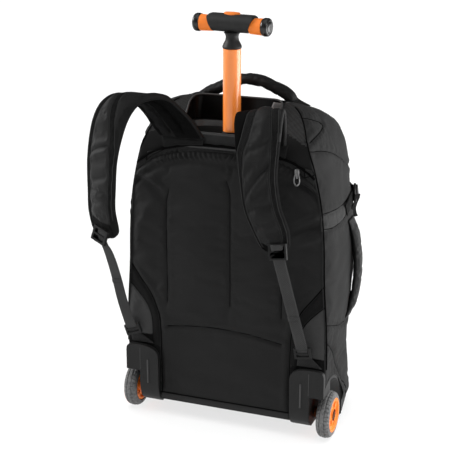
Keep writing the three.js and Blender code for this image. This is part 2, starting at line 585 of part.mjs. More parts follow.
// Compression straps across the sides, with their buckles near the front seam.
const sideStripAt = (u, off, dz) => {
  const y = SIDE_STRAP.fromY + (SIDE_STRAP.toY - SIDE_STRAP.fromY) * u;
  const z = SIDE_STRAP.fromZ + (SIDE_STRAP.toZ - SIDE_STRAP.fromZ) * u + dz;
  let share = shareAtY(z, y);
  if (y > sectionAt(z).sideY) {                                        // walk round the front curve to this y
    let a = SIDE_SHARE, b = 1;
    for (let k = 0; k < 40; k++) {
      const mid = (a + b) / 2;
      if (outline(z, mid).y < y) a = mid; else b = mid;
    }
    share = a;
  }
  const p = outline(z, share);
  const q = outline(z, share + 0.004).sub(outline(z, share - 0.004));
  return p.add(V(q.y, -q.x, 0).normalize().multiplyScalar(off));
};
const sideStrip = sheet(14, 1,
  (u, v) => sideStripAt(u, 0.7 + SIDE_STRAP.thick, (v - 0.5) * SIDE_STRAP.wide),
  (u, v) => sideStripAt(u, 0.7, (v - 0.5) * SIDE_STRAP.wide));
pair('side_strap', sideStrip, WEBBING);
const stripShare = (y) => (y - SIDE_STRAP.fromY) / (SIDE_STRAP.toY - SIDE_STRAP.fromY);
const sideBuckle = sheet(4, 1,
  (u, v) => sideStripAt(stripShare(SIDE_BUCKLE.y + (u - 0.5) * SIDE_BUCKLE.deep), 0.7 + SIDE_STRAP.thick + GAP + SIDE_BUCKLE.thick, (v - 0.5) * SIDE_BUCKLE.tall * 0.55),
  (u, v) => sideStripAt(stripShare(SIDE_BUCKLE.y + (u - 0.5) * SIDE_BUCKLE.deep), 0.7 + SIDE_STRAP.thick + GAP, (v - 0.5) * SIDE_BUCKLE.tall * 0.6));
pair('side_buckle', sideBuckle, PLASTIC);

// Zip slider with its hanging pull.
const pull = new THREE.Shape();
pull.absellipse(0, 0, 4.5, 9.5, 0, 2 * Math.PI, false, 0);
const eye = new THREE.Path();
eye.absellipse(0, -2, 2.2, 5, 0, 2 * Math.PI, true, 0);
pull.holes.push(eye);
const pullPlate = alongY(pull, ZIP.y - 1.6, ZIP.y + 0.4, 6);
pullPlate.translate(ZIP.x, 0, ZIP.z - 11);
part('zip_slider', join(box(ZIP.x - 4, ZIP.x + 4, ZIP.y - 2.6, ZIP.y + 3.6, ZIP.z - 4, ZIP.z + 6), pullPlate), STEEL);

// Handle tray sunk into the top, with a collar round the pole.
const bevel = (grow) => [
  { y: -109.6, z: 489 }, { y: -106.8, z: 498 }, { y: -98.5, z: 513.6 }, { y: -84, z: 527.6 },
  { y: -72, z: 540.6 }, { y: -61, z: 551.6 }, { y: -50, z: 558.6 }, { y: -41, z: 561.8 },
].map((row) => [row.y, row.z + grow]);
const trayOuter = alongX([...bevel(0), [WELL.rearY, 562.4], [WELL.rearY, 489]], -WELL.half, WELL.half);
const innerRear = WELL.rearY - WELL.wall;
const inHalf = WELL.half - WELL.wall;
const trayAbove = box(-inHalf, inHalf, -140, innerRear, WELL.floor, 620);
const underFloor = WELL.floor - WELL.floorThick;
const trayBelow = alongX([
  [-106.8, 480], [-104.2, 498], [-97.4, underFloor], [innerRear, underFloor], [innerRear, 480],
], -inHalf, inHalf);
const poleHole = (r, z0, z1) => {
  const g = turned([[0, z0], [r, z0], [r, z1], [0, z1]], 'z', 24);
  g.translate(POLE.x, POLE.y, 0);
  return g;
};
part('handle_well', cut(
  join(cut(trayOuter, trayAbove, trayBelow), poleHole(18, WELL.floor - 1, WELL.floor + 1.5)),
  poleHole(GUIDE.inner, 400, 600),
), PLASTIC);

// Telescopic pole: hidden guide tube, sliding tube, neck and T grip.
const atPole = (g) => g.translate(POLE.x, POLE.y, 0);
part('pole_guide', atPole(turned([[GUIDE.inner, GUIDE.bottom], [GUIDE.outer, GUIDE.bottom], [GUIDE.outer, GUIDE.top], [GUIDE.inner, GUIDE.top], [GUIDE.inner, GUIDE.bottom]], 'z', 24)), PLASTIC);
part('pole_tube', atPole(turned([[POLE.r - POLE.wall, POLE.bottom], [POLE.r, POLE.bottom], [POLE.r, POLE.top], [POLE.r - POLE.wall, POLE.top], [POLE.r - POLE.wall, POLE.bottom]], 'z', 24)), ORANGE_TUBE);
const NECK = [[0, 1], [15.4, 1], [15.6, 4], [13.4, 9], [11, 14], [10.4, 19], [11.6, 24], [14, 26.1], [0, 26.1]];
part('handle_neck', atPole(turned(NECK.map(([r, h]) => [r, POLE.top + h - 0.7]), 'z', 20)), GRIP_RUBBER);

const gripFace = new THREE.Shape();
gripFace.moveTo(-GRIP.bottomHalf, GRIP.low);
gripFace.lineTo(GRIP.bottomHalf, GRIP.low);
gripFace.lineTo(GRIP.bottomHalf + 3, GRIP.low + 8);
gripFace.lineTo(GRIP.topHalf, GRIP.high - 4);
gripFace.lineTo(GRIP.topHalf - 3, GRIP.high);
gripFace.lineTo(-GRIP.topHalf + 3, GRIP.high);
gripFace.lineTo(-GRIP.topHalf, GRIP.high - 4);
gripFace.lineTo(-GRIP.bottomHalf - 3, GRIP.low + 8);
const gripSlab = alongY(gripFace, POLE.y - GRIP.depth / 2, POLE.y + GRIP.depth / 2);
const gripRound = new THREE.Shape();
gripRound.absellipse(POLE.y, (GRIP.low + GRIP.high) / 2, GRIP.depth / 2, (GRIP.high - GRIP.low) / 2 + 1.2, 0, 2 * Math.PI, false, 0);
const gripCore = geometryOf(solid(gripSlab).intersect(solid(alongX(gripRound, -60, 60, 14))));
const buttonShape = (grow) => {
  const s = new THREE.Shape();
  s.absellipse(POLE.x, POLE.y, BUTTON.halfX + grow, BUTTON.halfY + grow, 0, 2 * Math.PI, false, 0);
  return s;
};
const upright = (shape, z0, z1) => {
  const g = new THREE.ExtrudeGeometry(shape, { depth: z1 - z0, bevelEnabled: false, curveSegments: 16 });
  g.translate(0, 0, z0);
  return g;
};
const sleeveSocket = cylinderX(SLEEVE.r + GAP, SLEEVE.from - 3 - GAP, 80, POLE.y, GRIP.z, 28);
const turnGrip = (g) => g.translate(-POLE.x, -POLE.y, 0).rotateZ(GRIP.turn * Math.PI / 180).translate(POLE.x, POLE.y, 0);
part('handle_grip', turnGrip(cut(gripCore, upright(buttonShape(GAP), BUTTON.low - BUTTON.travel - GAP, 720), sleeveSocket, mirrored(sleeveSocket))), GRIP_RUBBER);
part('handle_button', turnGrip(upright(buttonShape(0), BUTTON.low, BUTTON.high)), ORANGE_PLASTIC);
const atGrip = (g) => g.translate(0, POLE.y, GRIP.z);
const gripPair = (name, right, material) => {
  part(`${name}_left`, turnGrip(mirrored(right)), material);
  part(`${name}_right`, turnGrip(right), material);
};
gripPair('grip_sleeve', atGrip(turned([[0, SLEEVE.from - 3], [SLEEVE.r, SLEEVE.from - 3], [SLEEVE.r + 0.8, SLEEVE.to], [0, SLEEVE.to]], 'x', 28)), ORANGE_PLASTIC);
gripPair('grip_cap', atGrip(turned([[0, CAP.from], [CAP.r - 1.2, CAP.from], [CAP.r, CAP.from + 2.5], [CAP.r, CAP.to - 4], [CAP.r - 3, CAP.to - 0.8], [0, CAP.to]], 'x', 20)), GRIP_RUBBER);

// Housings, axles, hubs and tyres.
pair('wheel_housing', housingRight, PLASTIC);
const atWheel = (g) => g.translate(0, WHEEL.y, WHEEL.z);
pair('axle', atWheel(turned([[0, HOUSING.leg + GAP], [9, HOUSING.leg + GAP], [9, WHEEL.inner - 1], [AXLE_R, WHEEL.inner - 1], [AXLE_R, 185.6], [7.6, 185.6], [6.8, 187], [0, 187]], 'x', 16)), STEEL);
const hubBlank = turned([
  [WHEEL.bore, 164], [10, 164], [10, 168], [24, 168], [24.5, 164], [WHEEL.hubR - 1.5, 164], [WHEEL.hubR, 167],
  [WHEEL.hubR, 184], [WHEEL.hubR - 1, 185], [24.5, 185], [23.5, 182], [11.5, 182], [10.5, 185], [WHEEL.bore, 185], [WHEEL.bore, 164],
], 'x', 24);
const pockets = Array.from({ length: 5 }, (_, k) => {
  return cylinderX(5, 178, 190, 17.2 * Math.cos(rad(72 * k)), 17.2 * Math.sin(rad(72 * k)), 8);
});
pair('hub', atWheel(cut(hubBlank, ...pockets)), ORANGE_PLASTIC);
const TREAD = [
  [WHEEL.hubR + GAP, 165], [33, 163], [36.4, 163.4], [39, 167], [40, 172],
  [40, 180], [39, 185], [36.4, 188.6], [33, 189], [WHEEL.hubR + GAP, 187], [WHEEL.hubR + GAP, 165],
];
pair('tyre', atWheel(turned(TREAD, 'x', 32)), TYRE_RUBBER);

export default bag;
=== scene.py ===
import math

import bmesh
import bpy
import numpy as np
from mathutils import Matrix
from mathutils.bvhtree import BVHTree


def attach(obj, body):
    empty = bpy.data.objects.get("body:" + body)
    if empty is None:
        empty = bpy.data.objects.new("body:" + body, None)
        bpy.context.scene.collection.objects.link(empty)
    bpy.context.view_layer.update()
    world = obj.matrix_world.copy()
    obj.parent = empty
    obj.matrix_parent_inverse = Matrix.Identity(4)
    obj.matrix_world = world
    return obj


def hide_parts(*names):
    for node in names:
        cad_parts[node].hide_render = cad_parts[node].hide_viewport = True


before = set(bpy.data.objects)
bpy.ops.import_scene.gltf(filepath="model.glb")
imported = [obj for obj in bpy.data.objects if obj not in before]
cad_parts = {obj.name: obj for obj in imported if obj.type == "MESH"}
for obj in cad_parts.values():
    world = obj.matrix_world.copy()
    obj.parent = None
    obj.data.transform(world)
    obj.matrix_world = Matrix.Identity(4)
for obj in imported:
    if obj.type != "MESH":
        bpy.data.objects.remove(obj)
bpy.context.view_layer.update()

# ------------------------------------------------------------------ sizes, in millimetres
SHIFT = np.array([3.6, 45.2, 0.0])  # from the bag's own middle plane to the shared frame
SECTIONS = np.array([  # z, back half width, side half width, side y, back y, front y
    (33, 171, 180, -10, -109, 111), (50, 175, 180.5, -10, -110, 113), (90, 177.5, 178, -10, -110, 113),
    (135, 178, 176.5, -10, -110, 113.5), (205, 176, 181, -10, -110, 114.5), (280, 171, 183.5, -10, -110, 115),
    (340, 169, 182, -10, -110, 115), (400, 164, 175, -10, -110, 113), (440, 157, 169, -10, -110, 110),
    (480, 147, 162, -10, -110, 102), (497, 141, 158, -11, -107, 92), (513, 134, 152.5, -13, -98.5, 80),
    (527, 127, 145, -16, -84, 60), (540, 119, 135, -22, -72, 29), (551, 109, 119, -30, -61, -3),
    (557, 98, 104, -36, -52, -22), (560, 87, 89, -38, -46, -31)], float)
STRAP_LEFT = np.array([  # x, y, z, width, heading, dip
    (-72, -115, 509.2, 78, 0, 0), (-86, -120, 531, 70, 2, 10), (-102, -130, 555, 60, 6, 13), (-114, -145, 572, 60, 9, 7),
    (-129, -163, 578, 61, 8, 0), (-145, -179, 572, 62, 4, -2), (-158, -188, 552, 62, -3, -1), (-168, -192, 520, 61, -9, -1),
    (-176, -193, 476, 60, -14, 5), (-180, -190, 427, 58, -16, 8), (-182, -187, 392, 56, -16, 8), (-177, -184, 359, 54, -17, 8),
    (-173, -182, 344, 40, -18, 6)], float)
STRAP_RIGHT = np.array([
    (70, -115, 509.2, 72, 0, 0), (70, -118, 530, 74, 0, 2), (70, -124, 549, 77, 0, 5), (70.5, -133, 560, 80, 0, 8),
    (71.5, -144, 562, 80, 0, 9), (73, -154, 551, 79, 1, 8), (75, -162, 529, 74, 2, 5), (76, -166, 503, 69, 1, 3),
    (78, -168, 464, 63, 1, 5), (84, -166, 420, 63, 1, 6), (96, -161, 384, 62, 0, 7), (103, -157, 358, 52, -1, 8),
    (106, -154, 344, 36, -1, 8)], float)
WEB_LEFT = np.array([  # x, y, z, heading, dip
    (-176.6, -197.6, 361, -17, -18), (-177.6, -196.8, 351, -17, -18), (-175.4, -195.2, 341, -17, -14), (-171, -193, 330, -16, -4), (-169, -183.5, 308, -14, 5), (-170, -163, 268, -10, 12), (-170.5, -143, 222, -6, 16),
    (-166.5, -124.5, 174, -2, 20), (-163.8, -120.3, 163, -1, 20), (-162.5, -118.5, 152, 0, 16)], float)
WEB_RIGHT = np.array([
    (110.9, -173.0, 363, 0, 8), (112.6, -170.6, 351, 0, 8), (114.5, -167.6, 337, 0, 8), (117.5, -159, 312, 0, 9), (125, -145, 262, 0, 10), (133, -132, 214, 0, 10),
    (139.5, -122.5, 176, 0, 9), (141.3, -120.3, 164, 0, 9), (142.3, -118.5, 153, 0, 6)], float)
ARCH = np.array([(0, 495), (60, 492.5), (102, 484), (125, 475.5), (148, 460), (160, 449)], float)  # top seam of the back pad
POLE = (0.0, -74.0)
WHEEL = (-80.0, 40.0)


# ------------------------------------------------------------------ small geometry kit
def unit(v):
    return v / np.maximum(np.linalg.norm(v, axis=-1, keepdims=True), 1e-12)


def hermite(keys, values, x):
    keys, values, x = np.asarray(keys, float), np.asarray(values, float), np.asarray(x, float)
    n = len(keys)
    lo, hi = np.maximum(np.arange(n) - 1, 0), np.minimum(np.arange(n) + 1, n - 1)
    slope = (values[hi] - values[lo]) / (keys[hi] - keys[lo]).reshape((-1,) + (1,) * (values.ndim - 1))
    i = np.clip(np.searchsorted(keys, x, side="left") - 1, 0, n - 2)
    h = keys[i + 1] - keys[i]
    t = np.clip((x - keys[i]) / h, 0, 1)
    shape = t.shape + (1,) * (values.ndim - 1)
    t, h = t.reshape(shape), h.reshape(shape)
    t2, t3 = t * t, t * t * t
    return (2 * t3 - 3 * t2 + 1) * values[i] + (t3 - 2 * t2 + t) * h * slope[i] + (3 * t2 - 2 * t3) * values[i + 1] + (t3 - t2) * h * slope[i + 1]


def section(z):
    s = hermite(SECTIONS[:, 0], SECTIONS[:, 1:], z)
    return [s[..., k] for k in range(5)]


def outline(z, share):
    """Right-hand side of the bag at a height: share 0 at the back edge, 1 at the middle of the front."""
    z, share = np.broadcast_arrays(np.asarray(z, float), np.asarray(share, float))
    back_half, side_half, side_y, back_y, front_y = section(z)
    t = 1 - share / 0.34
    angle = np.clip((share - 0.34) / 0.66, 0, 1) * np.pi / 2
    c, d, deep = np.cos(angle), np.sin(angle), front_y - side_y
    n = 3 + 0.9 * (1 - step(30, 58, z)) - 0.6 * bell(z - 150, 50)
    r = ((c / side_half) ** n + (d / deep) ** n) ** (-1 / n)
    x = np.where(share < 0.34, side_half - (side_half - back_half) * t * t, r * c)
    y = np.where(share < 0.34, side_y + (back_y - side_y) * t, side_y + r * d)
    return np.stack([x, y, z], -1)


def arch(x):
    return hermite(ARCH[:, 0], ARCH[:, 1], np.minimum(np.abs(x), 160))


def ripples(x, y, shortest, longest, seed, count=18, stretch=1.0, turn=0.0):
    """Soft random relief of about unit size, the same on each run."""
    r = np.random.default_rng(seed)
    ca, sa = math.cos(turn), math.sin(turn)
    x, y = (x * ca + y * sa) / stretch, y * ca - x * sa
    total = np.zeros(np.shape(x))
    for _ in range(count):
        wave = math.exp(r.uniform(math.log(shortest), math.log(longest)))
        a, p = r.uniform(0, 2 * np.pi, 2)
        total += np.sin((x * math.cos(a) + y * math.sin(a)) * 2 * np.pi / wave + p)
    return total / math.sqrt(count / 2)


def to_line(x, y, points):
    """Distance from each point to a broken line, and where along the line it is nearest."""
    points = np.asarray(points, float)
    best, at, run = np.full(np.shape(x), 1e9), np.zeros(np.shape(x)), 0.0
    for a, b in zip(points[:-1], points[1:]):
        d = b - a
        length = math.hypot(*d)
        t = np.clip(((x - a[0]) * d[0] + (y - a[1]) * d[1]) / (length * length), 0, 1)
        gap = np.hypot(x - a[0] - t * d[0], y - a[1] - t * d[1])
        near = gap < best
        best, at = np.where(near, gap, best), np.where(near, run + t * length, at)
        run += length
    return best, at / max(run, 1e-9)


def smooth_line(points, n):
    points = np.asarray(points, float)
    return hermite(np.arange(len(points)), points, np.linspace(0, len(points) - 1, n))


def bell(d, width):
    return np.exp(-((d / width) ** 2))


def step(a, b, x):
    t = np.clip((x - a) / (b - a), 0, 1)
    return t * t * (3 - 2 * t)


def lengths(points):
    return np.concatenate([[0], np.cumsum(np.linalg.norm(np.diff(points, axis=0), axis=1))])


def normals_of(P):
    return unit(np.cross(np.gradient(P, axis=1), np.gradient(P, axis=0)))


def drape(P, pin, wrap=False, pressure=3.0, grow=0.012, cap=5.0, bend=0.6):
    """Cloth simulation of sewn padding: a grid in millimetres held where pin is set, puffed up between. Gives each point's move."""
    scene = bpy.context.scene
    g = Body()
    g.grid(P, wrap=wrap)
    me = bpy.data.meshes.new("drape")
    me.from_pydata((P.reshape(-1, 3) * 0.001).tolist(), [], g.f)
    ob = bpy.data.objects.new("drape", me)
    scene.collection.objects.link(ob)
    group = ob.vertex_groups.new(name="pin")
    group.add(np.flatnonzero(pin.reshape(-1) > 0.5).tolist(), 1.0, "REPLACE")
    m = ob.modifiers.new("cloth", "CLOTH")
    c = m.settings
    c.quality, c.mass = 5, 0.2
    c.tension_stiffness = c.compression_stiffness = 18
    c.shear_stiffness, c.bending_stiffness = 6, bend
    c.tension_damping = c.compression_damping = c.shear_damping = 12
    c.use_pressure, c.uniform_pressure_force = True, pressure
    c.shrink_min = -grow
    c.vertex_group_mass = "pin"
    c.effector_weights.gravity = 0
    m.collision_settings.use_collision = False
    for f in range(1, 21):
        scene.frame_set(f)
    ev = ob.evaluated_get(bpy.context.evaluated_depsgraph_get())
    out = ev.to_mesh()
    co = np.empty(len(out.vertices) * 3, np.float32)
    out.vertices.foreach_get("co", co)
    ev.to_mesh_clear()
    bpy.data.objects.remove(ob)
    bpy.data.meshes.remove(me)
    scene.frame_set(1)
    move = co.reshape(P.shape).astype(float) * 1000 - P
    move[~np.isfinite(move)] = 0
    far = np.linalg.norm(move, axis=2, keepdims=True)
    return move * cap * np.tanh(far / cap) / np.maximum(far, 1e-9)


def resample(rows, cols, move, rows_to, cols_to, period=None):
    """Carries a coarse grid's moves to a finer grid."""
    if period:
        cols = np.concatenate([cols[-3:] - period, cols, cols[:3] + period])
        move = np.concatenate([move[:, -3:], move, move[:, :3]], 1)
    m = hermite(rows, move, rows_to)
    return np.swapaxes(hermite(cols, np.swapaxes(m, 0, 1), cols_to), 0, 1)


class Body:
    """Collects the faces of one piece, in millimetres of the bag's own frame."""

    def __init__(self):
        self.v, self.f, self.uv, self.m, self.n = [], [], [], [], 0

    def faces(self, points, faces, uv=None, mat=0):
        points = np.asarray(points, float).reshape(-1, 3)
        faces = np.asarray(faces, int)
        if uv is None:
            flat = points[:, :2] if np.ptp(points[:, 2]) < 1e-6 else points[:, [0, 2]]
            uv = flat[faces] * 0.001
        self.v.append(points)
        self.f.extend((faces + self.n).tolist())
        self.uv.append(np.asarray(uv, float).reshape(-1, 2))
        self.m.append(np.broadcast_to(np.asarray(mat, int).reshape(-1), len(faces)))
        self.n += len(points)

    def grid(self, P, wrap=False, flip=False, mat=0, uv=None):
        nv, nu = P.shape[:2]
        if uv is None:
            ring = np.concatenate([P, P[:, :1]], 1) if wrap else P
            u = np.concatenate([np.zeros((nv, 1)), np.cumsum(np.linalg.norm(np.diff(ring, axis=1), axis=2), 1)], 1)
            v = np.concatenate([np.zeros((1, ring.shape[1])), np.cumsum(np.linalg.norm(np.diff(ring, axis=0), axis=2), 0)], 0)
            uv = np.stack([u - u.mean(1, keepdims=True), np.broadcast_to(v.mean(1, keepdims=True), u.shape)], -1) * 0.001
        i = np.arange(nv * nu).reshape(nv, nu)
        j = np.concatenate([i, i[:, :1]], 1) if wrap else i
        k = np.arange(uv.shape[0] * uv.shape[1]).reshape(uv.shape[:2])
        pick = lambda g: np.stack([g[:-1, :-1], g[:-1, 1:], g[1:, 1:], g[1:, :-1]], -1).reshape(-1, 4)
        quads, corners = pick(j), pick(k)
        if flip:
            quads, corners = quads[:, ::-1], corners[:, ::-1]
        self.faces(P.reshape(-1, 3), quads, uv.reshape(-1, 2)[corners], mat)

    def fan(self, ring, centre=None, mat=0):
        ring = np.asarray(ring, float)
        n = len(ring)
        centre = ring.mean(0) if centre is None else centre
        self.faces(np.vstack([ring, centre]), [(i, (i + 1) % n, n) for i in range(n)], mat=mat)

    def shell(self, P, Q, mat=0, rim=0):
        """Closed sheet between an outer grid P and an inner grid Q."""
        self.grid(P, mat=mat)
        self.grid(Q, flip=True, mat=rim)
        for a, b in ((P[0], Q[0]), (P[-1], Q[-1]), (P[:, 0], Q[:, 0]), (P[:, -1], Q[:, -1])):
            self.grid(np.stack([a, b]), mat=rim)

    def loft(self, rings, mat=0, caps=True, uv=None):
        rings = np.asarray(rings, float)
        self.grid(rings, wrap=True, mat=mat, uv=uv)
        if caps:
            cap = mat if np.ndim(mat) == 0 else 0
            self.fan(rings[0], mat=cap)
            self.fan(rings[-1], mat=cap)

    def tube(self, path, r, sides=10, mat=0, up=(0, 0, 1), flat=1.0, round_ends=True, closed=False):
        path = np.asarray(path, float)
        r = np.broadcast_to(np.asarray(r, float), len(path)).copy()
        if closed:
            T = unit(np.roll(path, -1, 0) - np.roll(path, 1, 0))
        else:
            T = unit(np.gradient(path, axis=0))
            if round_ends:
                path = np.vstack([path[0] - T[0] * r[0] * 0.8, path[0] - T[0] * r[0] * 0.5, path, path[-1] + T[-1] * r[-1] * 0.5, path[-1] + T[-1] * r[-1] * 0.8])
                r = np.concatenate([[r[0] * 0.35, r[0] * 0.8], r, [r[-1] * 0.8, r[-1] * 0.35]])
                T = np.vstack([T[:1], T[:1], T, T[-1:], T[-1:]])
        up = np.asarray(up, float)
        if abs(up @ T[0]) > 0.95:
            up = np.array([0.0, 1.0, 0.0]) if abs(T[0][1]) < 0.9 else np.array([1.0, 0.0, 0.0])
        side = [unit(np.cross(T[0], up))]
        for t in T[1:]:
            s = side[-1] - t * (side[-1] @ t)
            side.append(unit(s))
        side = np.array(side)
        over = np.cross(side, T)
        a = np.linspace(0, 2 * np.pi, sides, endpoint=False)
        rings = path[:, None] + r[:, None, None] * (np.cos(a)[None, :, None] * side[:, None] + flat * np.sin(a)[None, :, None] * over[:, None])
        if closed:
            self.grid(np.concatenate([rings, rings[:1]]), wrap=True, mat=mat)
        else:
            self.loft(rings, mat)

    def lathe(self, rows, axis, centre, sides=64, mat=0):
        """Profile rows (radius, place along the axis), turned about an axis through centre."""
        rows = np.asarray(rows, float)
        a = np.linspace(0, 2 * np.pi, sides, endpoint=False)
        r, h = rows[:, :1], np.repeat(rows[:, 1:2], sides, 1)
        p, q = r * np.cos(a), r * np.sin(a)
        rings = np.stack([h, p, q], -1) if axis == "x" else np.stack([p, q, h], -1)
        self.grid(rings + np.asarray(centre, float), wrap=True, mat=mat)

    def turn_z(self, degrees, x, y):
        """Turns all that is collected so far about an upright axis."""
        a = math.radians(degrees)
        c, d = math.cos(a), math.sin(a)
        for v in self.v:
            px, py = v[:, 0] - x, v[:, 1] - y
            v[:, 0], v[:, 1] = x + c * px - d * py, y + d * px + c * py

    def stitches(self, path, out, pitch=4.0, long=2.7, r=0.42, lift=0.15, mat=0):
        """A row of thread stitches along a line."""
        path, out = np.asarray(path, float), np.broadcast_to(np.asarray(out, float), np.shape(path))
        s = lengths(path)
        n = int(s[-1] / pitch)
        if n < 1:
            return
        at = (np.arange(n) + 0.5) * s[-1] / n
        pick = lambda w: np.stack([np.interp(w, s, path[:, k]) for k in range(3)], 1)
        c, d = pick(at), unit(pick(np.minimum(at + 0.5, s[-1])) - pick(np.maximum(at - 0.5, 0)))
        o = unit(np.stack([np.interp(at, s, out[:, k]) for k in range(3)], 1))
        side = unit(np.cross(d, o))
        c = c + o * lift
        v = np.stack([c - d * long / 2 - o * r * 0.6, c + d * long / 2 - o * r * 0.6, c + side * r, c - side * r, c + o * r, c - o * r], 1)
        f = np.array([(0, 2, 4), (2, 1, 4), (1, 3, 4), (3, 0, 4), (2, 0, 5), (1, 2, 5), (3, 1, 5), (0, 3, 5)])
        f = (f[None] + 6 * np.arange(n)[:, None, None]).reshape(-1, 3)
        self.faces(v.reshape(-1, 3), f, mat=mat)

    def piece(self, name, mats, body="bag", nodes=(), slot=None, sharp=None, weld=True, flat=False):
        me = bpy.data.meshes.new(name)
        co = (np.concatenate(self.v) + SHIFT) * 0.001
        me.from_pydata(co.tolist(), [], self.f)
        layer = me.uv_layers.new(name="UVMap")
        layer.data.foreach_set("uv", np.concatenate(self.uv).astype(np.float32).ravel())
        for m in mats:
            me.materials.append(m)
        me.polygons.foreach_set("material_index", np.concatenate(self.m).astype(np.int32))
        if weld:
            bm = bmesh.new()
            bm.from_mesh(me)
            bmesh.ops.remove_doubles(bm, verts=bm.verts, dist=3e-6)
            bmesh.ops.recalc_face_normals(bm, faces=bm.faces)
            bm.to_mesh(me)
            bm.free()
        me.polygons.foreach_set("use_smooth", np.full(len(me.polygons), not flat))
        me.update()
        if sharp is not None:
            me.set_sharp_from_angle(angle=math.radians(sharp))
        ob = bpy.data.objects.new(name, me)
        bpy.context.scene.collection.objects.link(ob)
        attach(ob, body)
        if nodes:
            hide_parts(*([nodes] if isinstance(nodes, str) else nodes))
        return ob


def rounded(node, name, material, body, bevel, segments=3, angle=30):
    """A finer copy of a hard CAD node, with its edges rounded, that stands for it."""
    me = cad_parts[node].data.copy()
    me.name = name
    bm = bmesh.new()
    bm.from_mesh(me)
    bmesh.ops.remove_doubles(bm, verts=bm.verts, dist=2e-5)
    bmesh.ops.dissolve_limit(bm, angle_limit=math.radians(1.5), verts=bm.verts, edges=bm.edges)
    bmesh.ops.recalc_face_normals(bm, faces=bm.faces)
    uv = bm.loops.layers.uv.get("UVMap") or bm.loops.layers.uv.new("UVMap")
    for f in bm.faces:
        n = f.normal
        k = max(range(3), key=lambda i: abs(n[i]))
        a, b = [(1, 2), (0, 2), (0, 1)][k]
        for loop in f.loops:
            loop[uv].uv = (loop.vert.co[a], loop.vert.co[b])
    bm.to_mesh(me)
    bm.free()
    me.materials.clear()
    me.materials.append(material)
    me.polygons.foreach_set("material_index", np.zeros(len(me.polygons), np.int32))
    me.polygons.foreach_set("use_smooth", np.full(len(me.polygons), True))
    ob = bpy.data.objects.new(name, me)
    bpy.context.scene.collection.objects.link(ob)
    b = ob.modifiers.new("edges", "BEVEL")
    b.width, b.segments, b.limit_method, b.angle_limit = bevel * 0.001, segments, "ANGLE", math.radians(angle)
    b.use_clamp_overlap = True
    b.miter_outer = "MITER_ARC"
    w = ob.modifiers.new("normals", "WEIGHTED_NORMAL")
    w.keep_sharp = False
    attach(ob, body)
    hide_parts(node)
    return ob


# ------------------------------------------------------------------ procedural materials
class Nodes:
    """Short hand for building a material's nodes."""

    def __init__(self, name):
        self.mat = bpy.data.materials.new(name)
        self.mat.use_nodes = True
        self.tree = self.mat.node_tree
        self.bsdf = self.tree.nodes["Principled BSDF"]
        self.coords = self.tree.nodes.new("ShaderNodeTexCoord")

    def link(self, a, b):
        self.tree.links.new(a, b)

    def math(self, op, a, b=0.0, c=None):
        n = self.tree.nodes.new("ShaderNodeMath")
        n.operation = op
        for socket, value in zip(n.inputs, (a, b, c)):
            if value is None:
                continue
            if hasattr(value, "is_linked"):
                self.link(value, socket)
            else:
                socket.default_value = value
        return n.outputs[0]

    def noise(self, scale, detail=3.0, rough=0.55, where="Object", stretch=(1, 1, 1)):
        m = self.tree.nodes.new("ShaderNodeMapping")
        m.inputs["Scale"].default_value = stretch
        self.link(self.coords.outputs[where], m.inputs["Vector"])
        n = self.tree.nodes.new("ShaderNodeTexNoise")
        n.inputs["Scale"].default_value = scale
        n.inputs["Detail"].default_value = detail
        n.inputs["Roughness"].default_value = rough
        self.link(m.outputs[0], n.inputs["Vector"])
        return n.outputs[0]

    def uv(self):
        s = self.tree.nodes.new("ShaderNodeSeparateXYZ")
        self.link(self.coords.outputs["UV"], s.inputs[0])
        return s.outputs[0], s.outputs[1]

    def wave(self, value, pitch, phase=0.0):
        """Sine of a length in metres, with that pitch."""
        return self.math("SINE", self.math("MULTIPLY_ADD", value, 2 * math.pi / pitch, phase))

    def colour(self, factor, dark, light):
        n = self.tree.nodes.new("ShaderNodeMix")
        n.data_type = "RGBA"
        n.clamp_factor = True
        self.link(factor, n.inputs[0])
        n.inputs[6].default_value = (*dark, 1)
        n.inputs[7].default_value = (*light, 1)
        self.link(n.outputs[2], self.bsdf.inputs["Base Color"])

    def roughness(self, factor, low, high):
        n = self.tree.nodes.new("ShaderNodeMapRange")
        self.link(factor, n.inputs[0])
        n.inputs[3].default_value, n.inputs[4].default_value = low, high
        self.link(n.outputs[0], self.bsdf.inputs["Roughness"])

    def bump(self, height, strength, distance):
        n = self.tree.nodes.new("ShaderNodeBump")
        n.inputs["Strength"].default_value = strength
        n.inputs["Distance"].default_value = distance
        self.link(height, n.inputs["Height"])
        self.link(n.outputs[0], self.bsdf.inputs["Normal"])

    def set(self, **values):
        for k, v in values.items():
            self.bsdf.inputs[k.replace("_", " ")].default_value = v


def grey(v, warm=0.0):
    return (v * (1 + warm), v, v * (1 - warm))


def cloth(name, dark, light, pitch=1.3, twill=False, blotch=0.5, weave=0.35, sheen=0.25, rough=(0.72, 0.92), bump=0.45, spec=0.03):
    """Woven cloth: threads, fibre noise and uneven fading."""
    m = Nodes(name)
    u, v = m.uv()
    p = pitch * 0.001
    if twill:
        d1, d2 = m.math("ADD", u, v), m.math("SUBTRACT", u, v)
        threads = m.math("MULTIPLY", m.wave(d1, p * 1.6), m.wave(d2, p * 3.2))
    else:
        threads = m.math("MULTIPLY", m.wave(u, p), m.wave(v, p))
    fine, wide = m.noise(900, 2), m.noise(14, 4)
    tone = m.math("MULTIPLY_ADD", threads, weave * 0.5, 0.5)
    tone = m.math("MULTIPLY_ADD", m.math("SUBTRACT", fine, 0.5), blotch * 1.3, tone)
    tone = m.math("MULTIPLY_ADD", m.math("SUBTRACT", wide, 0.5), blotch, tone)
    m.colour(tone, dark, light)
    m.roughness(fine, *rough)
    m.bump(m.math("MULTIPLY_ADD", fine, 0.8, m.math("MULTIPLY", threads, 0.5)), bump, 0.0004)
    m.set(Sheen_Weight=sheen, Sheen_Roughness=0.45, Specular_IOR_Level=spec)
    return m.mat


